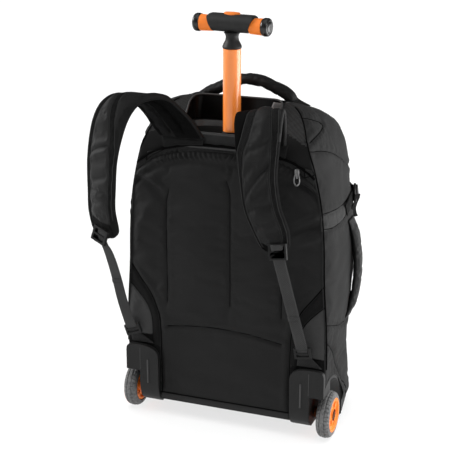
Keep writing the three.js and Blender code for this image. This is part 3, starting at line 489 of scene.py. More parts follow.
def mesh_cloth(name, dark, light, pitch=4.2, sheen=0.0):
    """Spacer mesh: rows of small holes."""
    m = Nodes(name)
    u, v = m.uv()
    p = pitch * 0.001
    d1, d2 = m.math("ADD", u, v), m.math("SUBTRACT", u, v)
    holes = m.math("MULTIPLY", m.wave(d1, p * 1.4), m.wave(d2, p * 1.4))
    fine = m.noise(900, 2)
    tone = m.math("MULTIPLY_ADD", holes, 0.75, m.math("MULTIPLY_ADD", fine, 0.5, 0.25))
    m.colour(tone, dark, light)
    m.roughness(fine, 0.75, 0.95)
    m.bump(m.math("MULTIPLY_ADD", fine, 0.2, holes), 0.8, 0.0009)
    m.set(Sheen_Weight=sheen, Sheen_Roughness=0.5, Specular_IOR_Level=0.02)
    return m.mat


def webbing(name, dark, light, sheen=0.0, spec=0.04):
    """Woven tape with cross ribs and a chevron."""
    m = Nodes(name)
    u, v = m.uv()
    ribs = m.wave(v, 0.0016)
    chevron = m.wave(m.math("ADD", m.math("ABSOLUTE", u), v), 0.0034)
    fine, wide = m.noise(1000, 2), m.noise(30, 3)
    tone = m.math("MULTIPLY_ADD", ribs, 0.22, m.math("MULTIPLY_ADD", chevron, 0.2, 0.45))
    tone = m.math("MULTIPLY_ADD", m.math("SUBTRACT", fine, 0.5), 0.6, tone)
    tone = m.math("MULTIPLY_ADD", m.math("SUBTRACT", wide, 0.5), 0.4, tone)
    m.colour(tone, dark, light)
    m.roughness(fine, 0.6, 0.85)
    m.bump(m.math("MULTIPLY_ADD", ribs, 0.6, chevron), 0.5, 0.0005)
    m.set(Sheen_Weight=sheen, Sheen_Roughness=0.4, Specular_IOR_Level=spec)
    return m.mat


def moulded(name, dark, light, rough=(0.4, 0.6), grain=1400, bump=0.12, coat=0.0, spec=0.5, scratch=0.25):
    """Moulded plastic: fine grain, scuffs and uneven gloss."""
    m = Nodes(name)
    fine, wide = m.noise(grain, 2), m.noise(35, 4)
    scuff = m.noise(260, 3, stretch=(1.0, 1.0, 0.12))
    tone = m.math("MULTIPLY_ADD", m.math("SUBTRACT", wide, 0.5), 0.8, 0.4)
    tone = m.math("MULTIPLY_ADD", m.math("SUBTRACT", scuff, 0.5), scratch * 2, tone)
    m.colour(tone, dark, light)
    m.roughness(m.math("MULTIPLY_ADD", scuff, 0.5, m.math("MULTIPLY", wide, 0.5)), *rough)
    m.bump(fine, bump, 0.00025)
    m.set(Coat_Weight=coat, Coat_Roughness=0.2, Specular_IOR_Level=spec)
    return m.mat


def anodised(name, dark, light):
    """Satin orange tube with fine drawn lines along it."""
    m = Nodes(name)
    lines = m.noise(420, 2, stretch=(1, 1, 0.02))
    wide = m.noise(9, 3)
    tone = m.math("MULTIPLY_ADD", m.math("SUBTRACT", lines, 0.5), 0.2, wide)
    m.colour(tone, dark, light)
    m.roughness(lines, 0.2, 0.28)
    m.bump(lines, 0.06, 0.0001)
    m.set(Metallic=0.0, Coat_Weight=0.4, Coat_Roughness=0.24, Specular_IOR_Level=0.5)
    return m.mat


def metal(name, dark, light):
    m = Nodes(name)
    wide, fine = m.noise(220, 3), m.noise(1500, 2)
    m.colour(wide, dark, light)
    m.roughness(wide, 0.22, 0.42)
    m.bump(fine, 0.08, 0.0001)
    m.set(Metallic=1.0)
    return m.mat


def rubber(name, dark, light):
    """Dusty rubber, mottled by wear."""
    m = Nodes(name)
    fine, wide, spots = m.noise(1100, 3), m.noise(60, 4), m.noise(260, 3)
    tone = m.math("MULTIPLY_ADD", m.math("SUBTRACT", fine, 0.5), 0.7, m.math("MULTIPLY_ADD", wide, 0.5, 0.25))
    tone = m.math("MULTIPLY_ADD", m.math("SUBTRACT", spots, 0.5), 1.1, tone)
    m.colour(tone, dark, light)
    m.roughness(wide, 0.62, 0.9)
    m.bump(m.math("MULTIPLY_ADD", fine, 0.7, m.math("MULTIPLY_ADD", spots, 1.5, wide)), 0.4, 0.0007)
    m.set(Specular_IOR_Level=0.4)
    return m.mat


CLOTH_BACK = cloth("cloth_back", grey(0.0075), grey(0.0200), pitch=1.2, blotch=0.45, weave=0.3, sheen=0.0, rough=(0.46, 0.6), spec=0.10)
# lighter cloth of the lower corners: partly its own smoother cloth, partly painted highlight on their rounded faces
CLOTH_CORNER_AND_HIGHLIGHT = cloth("cloth_corner_and_painted_highlight", grey(0.0200), grey(0.0460), pitch=0.9, blotch=0.3, weave=0.2, sheen=0.01, rough=(0.42, 0.55), spec=0.22)
CLOTH_SIDE = cloth("cloth_side", grey(0.0120), grey(0.0430), pitch=1.5, twill=True, blotch=0.55, weave=0.6, sheen=0.02)
CLOTH_YOKE = cloth("cloth_yoke", grey(0.0080), grey(0.0220), pitch=1.3, blotch=0.45, weave=0.4, sheen=0.0)
CLOTH_WING = cloth("cloth_wing", grey(0.0220), grey(0.0660), pitch=1.3, blotch=0.45, weave=0.4, sheen=0.02)
CLOTH_STRAP = cloth("cloth_strap", grey(0.0095), grey(0.0260), pitch=1.1, blotch=0.45, weave=0.3, sheen=0.01, rough=(0.42, 0.56), spec=0.15)
# darker copy of the strap cloth for the right strap: painted shade
CLOTH_STRAP_SHADE = cloth("cloth_strap_painted_shade", grey(0.0062), grey(0.0170), pitch=1.1, blotch=0.45, weave=0.3, sheen=0.0, rough=(0.46, 0.6), spec=0.1)
CLOTH_LINING = cloth("cloth_lining", grey(0.0042), grey(0.0120), pitch=1.1, blotch=0.45, weave=0.3, sheen=0.0, rough=(0.46, 0.6), spec=0.1)
CLOTH_HANDLE = cloth("cloth_handle", grey(0.0028), grey(0.0090), pitch=1.1, blotch=0.4, weave=0.3, sheen=0.0, rough=(0.42, 0.56), spec=0.12)
CLOTH_BLACK = cloth("cloth_black", grey(0.0012), grey(0.0040), pitch=1.1, blotch=0.4, weave=0.3, sheen=0.0)
BINDING = webbing("binding", grey(0.0024), grey(0.0090))
BAND = webbing("band", grey(0.0050), grey(0.0170))
# light tape, also used for the painted highlight lines beside the seams on the back
TAPE_AND_HIGHLIGHT = webbing("tape", grey(0.0130), grey(0.0420))
PIPING_DARK = cloth("piping_dark", grey(0.0010), grey(0.0035), pitch=1.0, sheen=0.0)
# light piping for the strap cords, also the painted highlight beside the left dart seam
PIPING_LIGHT_AND_HIGHLIGHT = cloth("piping_light_and_painted_highlight", grey(0.022), grey(0.055), pitch=1.0, sheen=0.02)
SEAM = cloth("seam", grey(0.0006), grey(0.0020), pitch=0.8, sheen=0.0)
THREAD = cloth("thread", grey(0.030), grey(0.065), pitch=0.6, sheen=0.0)
THREAD_DARK = cloth("thread_dark", grey(0.010), grey(0.026), pitch=0.6, sheen=0.0)
MESH = mesh_cloth("mesh", grey(0.0020), grey(0.0840), pitch=3.0)
MESH_DARK = mesh_cloth("mesh_dark", grey(0.0024), grey(0.0120), pitch=1.8)
WEB = webbing("webbing", grey(0.0220), grey(0.0800), spec=0.06)
PLASTIC = moulded("plastic", grey(0.0060), grey(0.0150), rough=(0.36, 0.55), spec=0.2)
PLASTIC_TRAY = moulded("plastic_tray", grey(0.0020), grey(0.0060), rough=(0.25, 0.42), spec=0.12)
# lighter copy of the tray's plastic, with its own gloss: painted highlight on the tray's front wall and step
PLASTIC_LIP_HIGHLIGHT = moulded("plastic_lip_painted_highlight", grey(0.0090), grey(0.0240), rough=(0.25, 0.4), spec=0.4)
# dark brown copy of the hub's orange: painted shade in the hub's bore
HUB_BORE_SHADE = moulded("hub_bore_painted_shade", (0.060, 0.016, 0.003), (0.150, 0.045, 0.008), rough=(0.5, 0.7), spec=0.1)
# lighter plastic for thin lines on the housings and the tray: painted highlight
PLASTIC_HIGHLIGHT = moulded("plastic_painted_highlight", grey(0.0300), grey(0.0700), rough=(0.4, 0.55), spec=0.3)
# darker copy of the housing plastic: painted shade inside the wheel arches
PLASTIC_ARCH_SHADE = moulded("plastic_arch_painted_shade", grey(0.0040), grey(0.0110), rough=(0.45, 0.6), spec=0.12)
# pale plastic for a patch on the tray's rear right corner: painted reflection
PLASTIC_REFLECTION = moulded("plastic_painted_reflection", grey(0.1500), grey(0.2600), rough=(0.4, 0.6), spec=0.3)
PLASTIC_HOUSING = moulded("plastic_housing", grey(0.0080), grey(0.0190), rough=(0.42, 0.6), spec=0.2)
GRIP_RUBBER = moulded("grip_rubber", grey(0.0090), grey(0.0240), rough=(0.42, 0.6), grain=1800, bump=0.3, spec=0.25)
CAP_RUBBER = moulded("cap_rubber", grey(0.0030), grey(0.0090), rough=(0.2, 0.34), spec=0.5)
ORANGE_TUBE = anodised("orange_tube", (0.96, 0.245, 0.040), (1.0, 0.295, 0.055))
ORANGE = moulded("orange_plastic", (0.90, 0.205, 0.020), (0.98, 0.26, 0.035), rough=(0.42, 0.58), coat=0.05, scratch=0.12, spec=0.3)
ORANGE_DEEP = moulded("orange_hub", (0.95, 0.190, 0.010), (1.0, 0.250, 0.020), rough=(0.4, 0.55), scratch=0.15, spec=0.3)
TYRE = rubber("tyre", grey(0.022), grey(0.235))
STEEL = metal("steel", grey(0.16), grey(0.34))
STEEL_BLACK = moulded("steel_black", grey(0.0015), grey(0.0045), rough=(0.5, 0.7), spec=0.06)


# ------------------------------------------------------------------ bag shell: sides, front and top in one lofted skin
SIDE_SEAMS = {  # sewn lines on each side: share round from the back edge, height
    "shoulder": [(0.008, 499), (0.035, 497.6), (0.101, 495), (0.183, 488.6), (0.283, 476.6), (0.364, 463.6), (0.418, 449.6), (0.52, 436), (0.62, 430)],
    "patch": [(0.011, 543), (0.069, 541), (0.133, 537.6), (0.188, 534.8), (0.219, 532), (0.229, 528.8), (0.218, 525.6), (0.186, 522.4), (0.14, 519), (0.081, 515), (0.026, 510.5)],
    "wing_top": [(0.008, 400), (0.1, 397), (0.208, 394.7), (0.293, 394), (0.36, 394)],
    "wing_low": [(0.008, 375), (0.131, 369.2), (0.249, 369.2), (0.324, 371.2), (0.36, 373)],
    "middle": [(0.008, 212), (0.068, 205), (0.209, 190.4), (0.351, 181), (0.44, 178)],
    "corner": [(0.008, 182), (0.036, 175), (0.148, 149), (0.275, 100), (0.36, 62), (0.40, 36)],
}


def shell_rows(n_low, n_top):
    low = np.linspace(34.5, 487, n_low)
    top = np.concatenate([np.linspace(489.6, 540, n_top), np.linspace(542, 557, n_top // 2), [558.6, 560.0]])
    return np.concatenate([low, top])


def shell_grid(n_low, n_top, n_back, n_side, n_front):
    z = shell_rows(n_low, n_top)
    back_half, side_half, side_y, back_y, front_y = section(z)
    share = np.concatenate([np.linspace(0, 0.34, n_side, endpoint=False), 0.34 + 0.66 * np.linspace(0, 1, n_front)])
    right = outline(z[:, None], share[None])
    u = np.linspace(0, 1, n_back, endpoint=False)[None]
    inner = 80.4 + (back_half[:, None] - 80.4) * u
    face = np.stack([inner, np.broadcast_to(back_y[:, None], inner.shape), np.broadcast_to(z[:, None], inner.shape)], -1)
    half = np.concatenate([face, right], 1)
    tags = np.concatenate([np.linspace(-1, 0, n_back, endpoint=False), share])
    # the back edge is rounded as sewn cloth is
    for _ in range(3):
        k = slice(n_back - 3, n_back + 4)
        half[:, k] = 0.5 * half[:, k] + 0.25 * (half[:, n_back - 4:n_back + 3] + half[:, n_back - 2:n_back + 5])
    other = half[:, ::-1][:, 1:] * np.array([-1.0, 1, 1])
    whole = np.concatenate([half, other], 1)
    crest = whole[-1].copy()
    crest[:, 1], crest[:, 2] = -38.0, 560.8
    whole = np.concatenate([whole, crest[None]])
    around = np.concatenate([tags, 2 - tags[::-1][1:]])
    return whole, np.concatenate([tags, tags[::-1][1:]]), around


def shell_arc(tag, z):
    iz = np.clip(np.searchsorted(ARC_Z, z) - 1, 0, len(ARC_Z) - 1)
    arc = np.stack([np.array([np.interp(max(t, 0), ARC_S, ARC[k]) for k in iz[:, j]]) for j, t in enumerate(tag)], 1)
    return arc + 40 * np.minimum(np.broadcast_to(tag[None], z.shape), 0)


def shell_moves(rows_to, around_to):
    """Simulated puff and creases of the shell's cloth between its seams."""
    P, tag, around = shell_grid(76, 14, 6, 22, 16)
    z = P[..., 2]
    t = np.broadcast_to(tag[None], z.shape)
    arc = shell_arc(tag, z)
    pin = np.zeros(z.shape)
    pin[:2], pin[-6:], pin[:, 0], pin[:, -1] = 1, 1, 1, 1
    pin[t < 0.012] = 1
    pin[(z < 104) & (P[..., 1] < -28)] = 1
    for points in SIDE_SEAMS.values():
        line = smooth_line([(seam_arc(a, h), h) for a, h in points], 60)
        pin[to_line(arc, z, line)[0] < 3.4] = 1
    gap, _ = to_line(t, z / 900, smooth_line([(0.56, 34 / 900), (0.56, 487 / 900)], 12))
    pin[gap < 0.012] = 1
    move = drape(P, pin, pressure=2.2, grow=0.010, cap=3.5)
    return resample(np.arange(P.shape[0]) / (P.shape[0] - 1), around, move, rows_to, around_to)


def side_relief(arc_mm, z, share):
    """Height of the cloth over the plain shell at a place on one side."""
    relief = 1.1 * ripples(arc_mm, z, 70, 200, 11, stretch=1.0) + 0.4 * ripples(arc_mm, z, 26, 70, 12, stretch=1.8, turn=0.5)
    for name, points in SIDE_SEAMS.items():
        line = np.array([(seam_arc(s, h), h) for s, h in points])
        line = smooth_line(line, 60)
        gap, at = to_line(arc_mm, z, line)
        pull = 1.0 + 0.35 * np.sin(at * 90) * bell(gap - 5, 5)
        relief += -2.0 * bell(gap, 1.9) + 1.1 * bell(gap - 7, 5.5) * pull
    wing = step(366, 372, z) * step(402, 397, z) * step(0.40, 0.33, share)
    relief += 1.2 * wing
    return relief * step(0.0, 0.035, share)


ARC_Z = np.linspace(34, 560, 90)
ARC_S = np.linspace(0, 1, 120)
_arc = outline(ARC_Z[:, None], ARC_S[None])
ARC = np.concatenate([np.zeros((len(ARC_Z), 1)), np.cumsum(np.linalg.norm(np.diff(_arc, axis=1), axis=2), 1)], 1)


def seam_arc(share, z):
    row = np.array([np.interp(share, ARC_S, ARC[i]) for i in (max(np.searchsorted(ARC_Z, z) - 1, 0),)])
    return float(row[0])


def make_shell():
    P, tag, around = shell_grid(166, 22, 16, 52, 30)
    N = normals_of(P)
    if N[60, len(tag) // 4][0] < 0:
        N = -N
    z = P[..., 2]
    share = np.broadcast_to(np.clip(tag, 0, 1)[None], z.shape)
    arc = shell_arc(tag, z)
    relief = side_relief(arc, z, share)
    front = step(0.56, 0.75, share)
    relief = relief * (1 - front) + front * 1.4 * ripples(P[..., 0], z, 60, 220, 14)
    coarse = np.concatenate([shell_rows(76, 14), [560.8]])
    fine = np.concatenate([shell_rows(166, 22), [560.8]])
    rows = np.interp(fine, coarse, np.arange(len(coarse)) / (len(coarse) - 1))
    puff = shell_moves(rows, around)
    fade = np.ones(z.shape)
    fade[-3:] = 0
    fade *= step(34, 44, z)
    # the cloth stays under the straps and the pad on the back face
    fade = np.where(np.broadcast_to(tag[None], z.shape) < 0, 0.35 * fade, fade)
    P = P + N * (relief * fade)[..., None] + puff
    # wheel wells: the cloth is drawn in clear of the housings and wheels
    Q = P - N * 2.0
    mat = np.zeros((P.shape[0] - 1, P.shape[1] - 1), int)
    zc = 0.25 * (z[:-1, :-1] + z[1:, :-1] + z[:-1, 1:] + z[1:, 1:])
    tc = np.broadcast_to(0.5 * (tag[:-1] + tag[1:])[None], zc.shape)
    xc = np.abs(0.25 * (P[:-1, :-1, 0] + P[1:, :-1, 0] + P[:-1, 1:, 0] + P[1:, 1:, 0]))
    mat[(tc < 0)] = 1
    mat[(tc < 0) & (zc > 527 - (xc - 86) * 0.42)] = 2
    wing = (tc >= 0) & (tc < 0.35) & (zc > 371) & (zc < 397)
    mat[wing] = 3
    b = Body()
    # parts of the skin that the corner housings and wheels take the place of are left open
    yc = 0.25 * (P[:-1, :-1, 1] + P[1:, :-1, 1] + P[:-1, 1:, 1] + P[1:, 1:, 1])
    keep = ~((tc < 0) & (zc < arch(xc) - 14)) & ~((zc < 101) & (yc < -80)) & ~((np.hypot(yc - WHEEL[0], zc - WHEEL[1]) < 66.4) & (xc > 150)) & ~((zc < 41) & (yc < -14) & (xc > 150))
    nv, nu = P.shape[:2]
    whole = Body()
    whole.grid(P, mat=mat)
    faces = np.array(whole.f).reshape(-1, 4)
    uv = whole.uv[0].reshape(-1, 4, 2)
    k = keep.reshape(-1)
    # the mesh yoke's pattern follows the slope of the back in its true size
    zz = np.linspace(30, 562, 400)
    slope = lengths(np.stack([section(zz)[3], zz], 1))
    flat = np.stack([P[..., 0], np.interp(P[..., 2], zz, slope)], -1).reshape(-1, 2) * 0.001
    uv = np.where((mat.reshape(-1) == 2)[:, None, None], flat[faces], uv)
    both = np.concatenate([P.reshape(-1, 3), Q.reshape(-1, 3)])
    n = nv * nu
    outer = faces[k]
    edges = {}
    for q in outer.tolist():
        for a, c in zip(q, q[1:] + q[:1]):
            edges[(a, c)] = True
    rim = [(c, a, a + n, c + n) for a, c in edges if (c, a) not in edges]
    rim = np.array(rim)
    b.faces(both, np.concatenate([outer, outer[:, ::-1] + n, rim]),
            np.concatenate([uv[k].reshape(-1, 2), uv[k][:, ::-1].reshape(-1, 2), np.zeros((len(rim) * 4, 2))]),
            np.concatenate([mat.reshape(-1)[k], np.ones(k.sum(), int), np.ones(len(rim), int)]))
    ob = b.piece("bag_cloth", [CLOTH_SIDE, CLOTH_YOKE, MESH, CLOTH_WING], nodes=("side_panel_left", "side_panel_right", "front_panel", "top_panel"), slot="cloth_side")
    return ob, P, N, tag


def area_of(ob):
    me = ob.data
    me.calc_loop_triangles()
    v = np.array([x.co for x in me.vertices])
    t = np.array([x.vertices for x in me.loop_triangles])
    return float(np.linalg.norm(np.cross(v[t[:, 1]] - v[t[:, 0]], v[t[:, 2]] - v[t[:, 0]]), axis=1).sum() / 2)


def declare_sheet(ob, width, length):
    """Takes the smaller of half the piece's area and width times length; the value is not kept."""
    min(area_of(ob) / 2, width * length)


shell, SHELL_P, SHELL_N, SHELL_TAG = make_shell()
declare_sheet(shell, 1.06, 0.62)


def on_shell(share, z, lift=0.0, side=1.0):
    """A point a little off the plain shell."""
    share, z = np.asarray(share, float), np.asarray(z, float)
    p = outline(z, share)
    e = 1e-3
    n = unit(np.cross(outline(z, np.clip(share + e, 0, 1)) - outline(z, np.clip(share - e, 0, 1)), outline(z + 0.5, share) - outline(z - 0.5, share)))
    return (p + n * np.asarray(lift)[..., None]) * np.array([side, 1, 1]), n * np.array([side, 1, 1])


_skin = Body()
_skin.grid(SHELL_P)
SKIN = BVHTree.FromPolygons(SHELL_P.reshape(-1, 3).tolist(), _skin.f)


def on_skin(share, z, lift=0.0, side=1.0):
    """A point a little off the finished cloth of the shell."""
    p, n = on_shell(share, z, 0.0 * np.asarray(z, float), side)
    for i in range(len(p)):
        hit = SKIN.ray_cast((p[i] + n[i] * 14).tolist(), (-n[i]).tolist(), 40)[0]
        if hit is not None:
            p[i] = hit
    return p + n * lift, n


def make_side_seams():
    """Dark sewn lines and their top stitching on both sides."""
    dark, thread = Body(), Body()
    for sign in (-1.0, 1.0):
        for name, points in SIDE_SEAMS.items():
            line = smooth_line(points, 120)
            share, z = line[:, 0], line[:, 1]
            dark.tube(on_skin(share, z, 0.1, sign)[0], 1.0 if name == "corner" else 0.7, 6)
            if name in ("shoulder", "middle", "corner", "patch"):
                off = -3.0 if name in ("shoulder", "middle") else 2.6
                top, n = on_skin(share, z + off, 0.1, sign)
                thread.stitches(top, n, pitch=3.8, long=2.5, r=0.36)
    dark.piece("side_seams", [SEAM], slot="cloth_side")
    thread.piece("side_stitches", [THREAD], slot="cloth_side", weld=False)


make_side_seams()


# ------------------------------------------------------------------ padded back panel
CORNER_OUTER = [(172, 279), (153, 254), (135, 230), (124, 207), (118, 188), (116, 160), (115.5, 133), (115, 60), (115, 38)]
CORNER_INNER = [(174, 243), (158, 228), (143, 211), (135, 195), (131.5, 178), (131, 151), (131, 132)]


def pad_grid(nu=181, nv=201):
    u, v = np.linspace(-1, 1, nu)[None], np.linspace(0, 1, nv)[:, None]
    x = 165 * u + 0 * v
    for _ in range(8):
        z = 35.5 + (arch(x) - 9 - 35.5) * v
        x = u * (section(z)[0] - 1.5)
    return x, z


def pad_relief(x, z):
    """Outward height over the plain back face, and the distance to the panel's edges."""
    half, _, _, back_y, _ = section(z)
    side, top, low = half - np.abs(x), arch(x) - 9 - z, z - 35.5
    turn = lambda e, r, d: d * (1 - np.sqrt(np.clip(1 - (1 - np.clip(e / r, 0, 1)) ** 2, 0, 1)))
    drop = turn(side, 13, 4.6) + turn(top, 9, 3.6) + turn(low, 7, 3.0)
    h = 0.0 * x
    # crowned fields between the sewn lines
    h += 2.2 * bell(x + 45, 46) * bell(z - 330, 130) + 2.0 * bell(x - 55, 40) * bell(z - 330, 130)
    h += 1.2 * bell(np.abs(x) - 136, 22) * bell(z - 360, 90) + 0.8 * bell(x, 80) * bell(z - 105, 48)
    h -= 2.4 * step(118, 176, np.abs(x)) * step(190, 260, z)
    for seam_x, z0, z1, deep in ((-103, 214, 416, 3.0), (10, 222, 441, 2.3), (100, 214, 416, 2.8)):
        ends = step(z0 - 14, z0 + 14, z) * step(z1 + 8, z1 - 8, z)
        off = x - seam_x + 6 * bell(z - z1, 14) * np.sign(seam_x)
        h += ends * (-deep * bell(off, 2.4) + 1.2 * bell(np.abs(off) - 8, 6))
        h += 1.2 * bell(off, 5) * bell(z - z1 - 9, 6)
    # the sewn arch over the lower part, the upper cloth lying over the lower
    gap, at = to_line(x, z, smooth_line([(-103, 171), (-60, 176.5), (-16, 179), (40, 177), (101, 167)], 50))
    h += -2.6 * bell(gap, 2.1) + 1.0 * bell(gap - 7, 5)
    # gathers under the top seam
    wob = 0.6 * ripples(x, z * 0, 30, 120, 21)
    h += 2.3 * np.sin((np.abs(x) + 0.6 * top + 7 * wob) * 2 * np.pi / 8.4) * step(0, 4, top) * step(17, 8, top) * (0.72 + 0.28 * np.sin(x * 0.055 + 5.6)) * step(140, 124, np.abs(x))
    h += -2.0 * bell(top - 21, 6) + 2.4 * bell(top - 9.5, 5.5)
    # soft drag folds from the top corners and the straps' pull
    for fx, fz, ang, long, wide, amp in (
            (-125, 429, -25, 30, 6, 2.0), (-127, 414, -32, 30, 8, -1.6), (-148, 392, -70, 40, 8, 0.7), (-80, 432, -14, 34, 9, -0.7),
            (138, 440, -30, 26, 6, -1.7), (126, 424, -40, 30, 6, 1.5), (147, 391, 22, 30, 6, 1.8), (141, 374, 20, 34, 7, -1.7), (150, 356, 16, 28, 6, 1.4),
            (116, 453, -8, 24, 5, 1.4), (-150, 350, 74, 50, 7, 0.9), (-60, 440, 12, 40, 8, 0.8), (40, 452, -8, 44, 8, 0.7),
            (-75, 205, -6, 50, 9, 0.7), (60, 200, 8, 50, 9, 0.7), (0, 120, 4, 70, 12, 0.5), (-60, 90, 10, 60, 10, -0.5), (70, 80, -12, 60, 10, -0.5)):
        a = math.radians(ang)
        p = (x - fx) * math.cos(a) + (z - fz) * math.sin(a)
        q = (z - fz) * math.cos(a) - (x - fx) * math.sin(a) + 0.004 * p * p
        h += 2.2 * amp * bell(p, long) * bell(q, wide)
    h += 0.45 * ripples(x, z, 90, 220, 22) * step(4, 24, side) + 0.10 * ripples(x, z, 24, 60, 23, stretch=1.6)
    # lower corners, cut from smoother cloth, with their sewn edge bands
    for sign in (-1, 1):
        gap, _ = to_line(sign * x, z, smooth_line(CORNER_OUTER, 60))
        h += -2.2 * bell(gap, 2.2) + 1.0 * bell(gap - 8, 5)
        gap, _ = to_line(sign * x, z, smooth_line(CORNER_INNER, 40))
        h += -2.0 * bell(gap, 2.0)
    return h * step(0, 7, side) * step(0, 4, top) * step(8, 24, low), drop, back_y


def in_corner(x, z, line):
    line = smooth_line(line, 80)
    edge = np.interp(z, line[::-1, 1], line[::-1, 0], left=115, right=400)
    return np.abs(x) > edge


PAD_SEAMS = [[(-103, 214), (-103, 416)], [(10, 222), (10, 441)], [(100, 214), (100, 416)], [(-103, 171), (-60, 176.5), (-16, 179), (40, 177), (101, 167)]]


def pad_moves():
    x, z = pad_grid(85, 109)
    h, drop, back_y = pad_relief(x, z)
    P = np.stack([x, back_y + drop - 0.4 * h - 0.6, z], -1)
    pin = np.zeros(x.shape)
    pin[:2], pin[-3:], pin[:, :2], pin[:, -2:] = 1, 1, 1, 1
    for line in PAD_SEAMS + [CORNER_OUTER, CORNER_INNER, [(-a, b) for a, b in CORNER_OUTER], [(-a, b) for a, b in CORNER_INNER]]:
        pin[to_line(x, z, np.array(line, float))[0] < 2.6] = 1
    pin[(z < 104) & (np.abs(x) > 114)] = 1
    pin[z < 62] = 1
    move = drape(P, pin, pressure=2.6, grow=0.007, cap=4.5, bend=2.0)
    # the lower field is glued flat over its board
    move = move * (0.3 + 0.7 * step(165, 240, z))[..., None]
    return np.linspace(0, 1, 109), np.linspace(-1, 1, 85), move


PAD_MOVES = pad_moves()


def pad_puff(x, z):
    """The simulated outward move of the pad's face at a place."""
    rows, cols, move = PAD_MOVES
    v = np.clip((z - 35.5) / (arch(x) - 9 - 35.5), 0, 1) * (len(rows) - 1)
    u = np.clip((x / (section(z)[0] - 1.5) + 1) / 2, 0, 1) * (len(cols) - 1)
    i, j = np.clip(v.astype(int), 0, len(rows) - 2), np.clip(u.astype(int), 0, len(cols) - 2)
    a, b = v - i, u - j
    m = -move[..., 1]
    return (1 - a) * ((1 - b) * m[i, j] + b * m[i, j + 1]) + a * ((1 - b) * m[i + 1, j] + b * m[i + 1, j + 1])


def make_pad():
    x, z = pad_grid()
    h, drop, back_y = pad_relief(x, z)
    P = np.stack([x, back_y + drop - h - 0.6, z], -1)
    P = P + resample(*PAD_MOVES, np.linspace(0, 1, P.shape[0]), np.linspace(-1, 1, P.shape[1]))
    Q = np.stack([x, back_y + 9.0 + 0 * x, z], -1)
    xc, zc = (0.25 * (g[:-1, :-1] + g[1:, :-1] + g[:-1, 1:] + g[1:, 1:]) for g in (x, z))
    mat = np.zeros(xc.shape, int)
    # lower corners take the lighter corner cloth, partly its own colour and partly painted highlight
    mat[in_corner(xc, zc, CORNER_OUTER) & (zc < 279)] = 2
    mat[in_corner(xc, zc, CORNER_INNER) & (zc < 243) & (zc > 150)] = 1
    mat[(mat == 2) & (zc < 134) & (np.abs(xc) < 119)] = 0
    mat[in_corner(xc, zc, CORNER_INNER) & (zc <= 150)] = 3
    keep = ~((zc < 101) & (np.abs(xc) > 117.5))
    b = Body()
    nv, nu = P.shape[:2]
    g = Body()
    g.grid(P, mat=mat)
    faces, uv, k = np.array(g.f).reshape(-1, 4), g.uv[0].reshape(-1, 4, 2), keep.reshape(-1)
    outer, n = faces[k], nv * nu
    edges = {}
    for q in outer.tolist():
        for a, c in zip(q, q[1:] + q[:1]):
            edges[(a, c)] = True
    rim = np.array([(c, a, a + n, c + n) for a, c in edges if (c, a) not in edges])
    b.faces(np.concatenate([P.reshape(-1, 3), Q.reshape(-1, 3)]), np.concatenate([outer, outer[:, ::-1] + n, rim]),
            np.concatenate([uv[k].reshape(-1, 2), uv[k][:, ::-1].reshape(-1, 2), np.zeros((len(rim) * 4, 2))]),
            np.concatenate([mat.reshape(-1)[k], np.zeros(k.sum(), int), np.zeros(len(rim), int)]))
    ob = b.piece("back_pad", [CLOTH_BACK, CLOTH_CORNER_AND_HIGHLIGHT, BAND, BINDING], nodes="back_panel", slot="cloth_back")
    return ob


make_pad()


def pad_y(x, z, lift=0.0):
    """Outer face of the back pad at a place, as a point."""
    x, z = np.asarray(x, float), np.asarray(z, float)
    h, drop, back_y = pad_relief(x, z)
    return np.stack([x, back_y + drop - h - 0.6 - lift - pad_puff(x, z), z], -1)


# ------------------------------------------------------------------ piping, seam tapes and stitching on the back
def patch_plate(b, corners, y, thick, n=10):
    """A thin sewn cloth patch with four corners, given as x and z."""
    c = np.asarray(corners, float)
    u, v = np.linspace(0, 1, n)[None, :, None], np.linspace(0, 1, n)[:, None, None]
    q = (1 - v) * ((1 - u) * c[0] + u * c[1]) + v * ((1 - u) * c[3] + u * c[2])
    e = (np.minimum(np.minimum(u, 1 - u), np.minimum(v, 1 - v)) * 10)[..., 0].clip(0, 1)
    P = np.stack([q[..., 0], y - thick * (0.4 + 0.6 * e), q[..., 1]], -1)
    b.shell(P, np.stack([q[..., 0], y + 0 * e, q[..., 1]], -1))


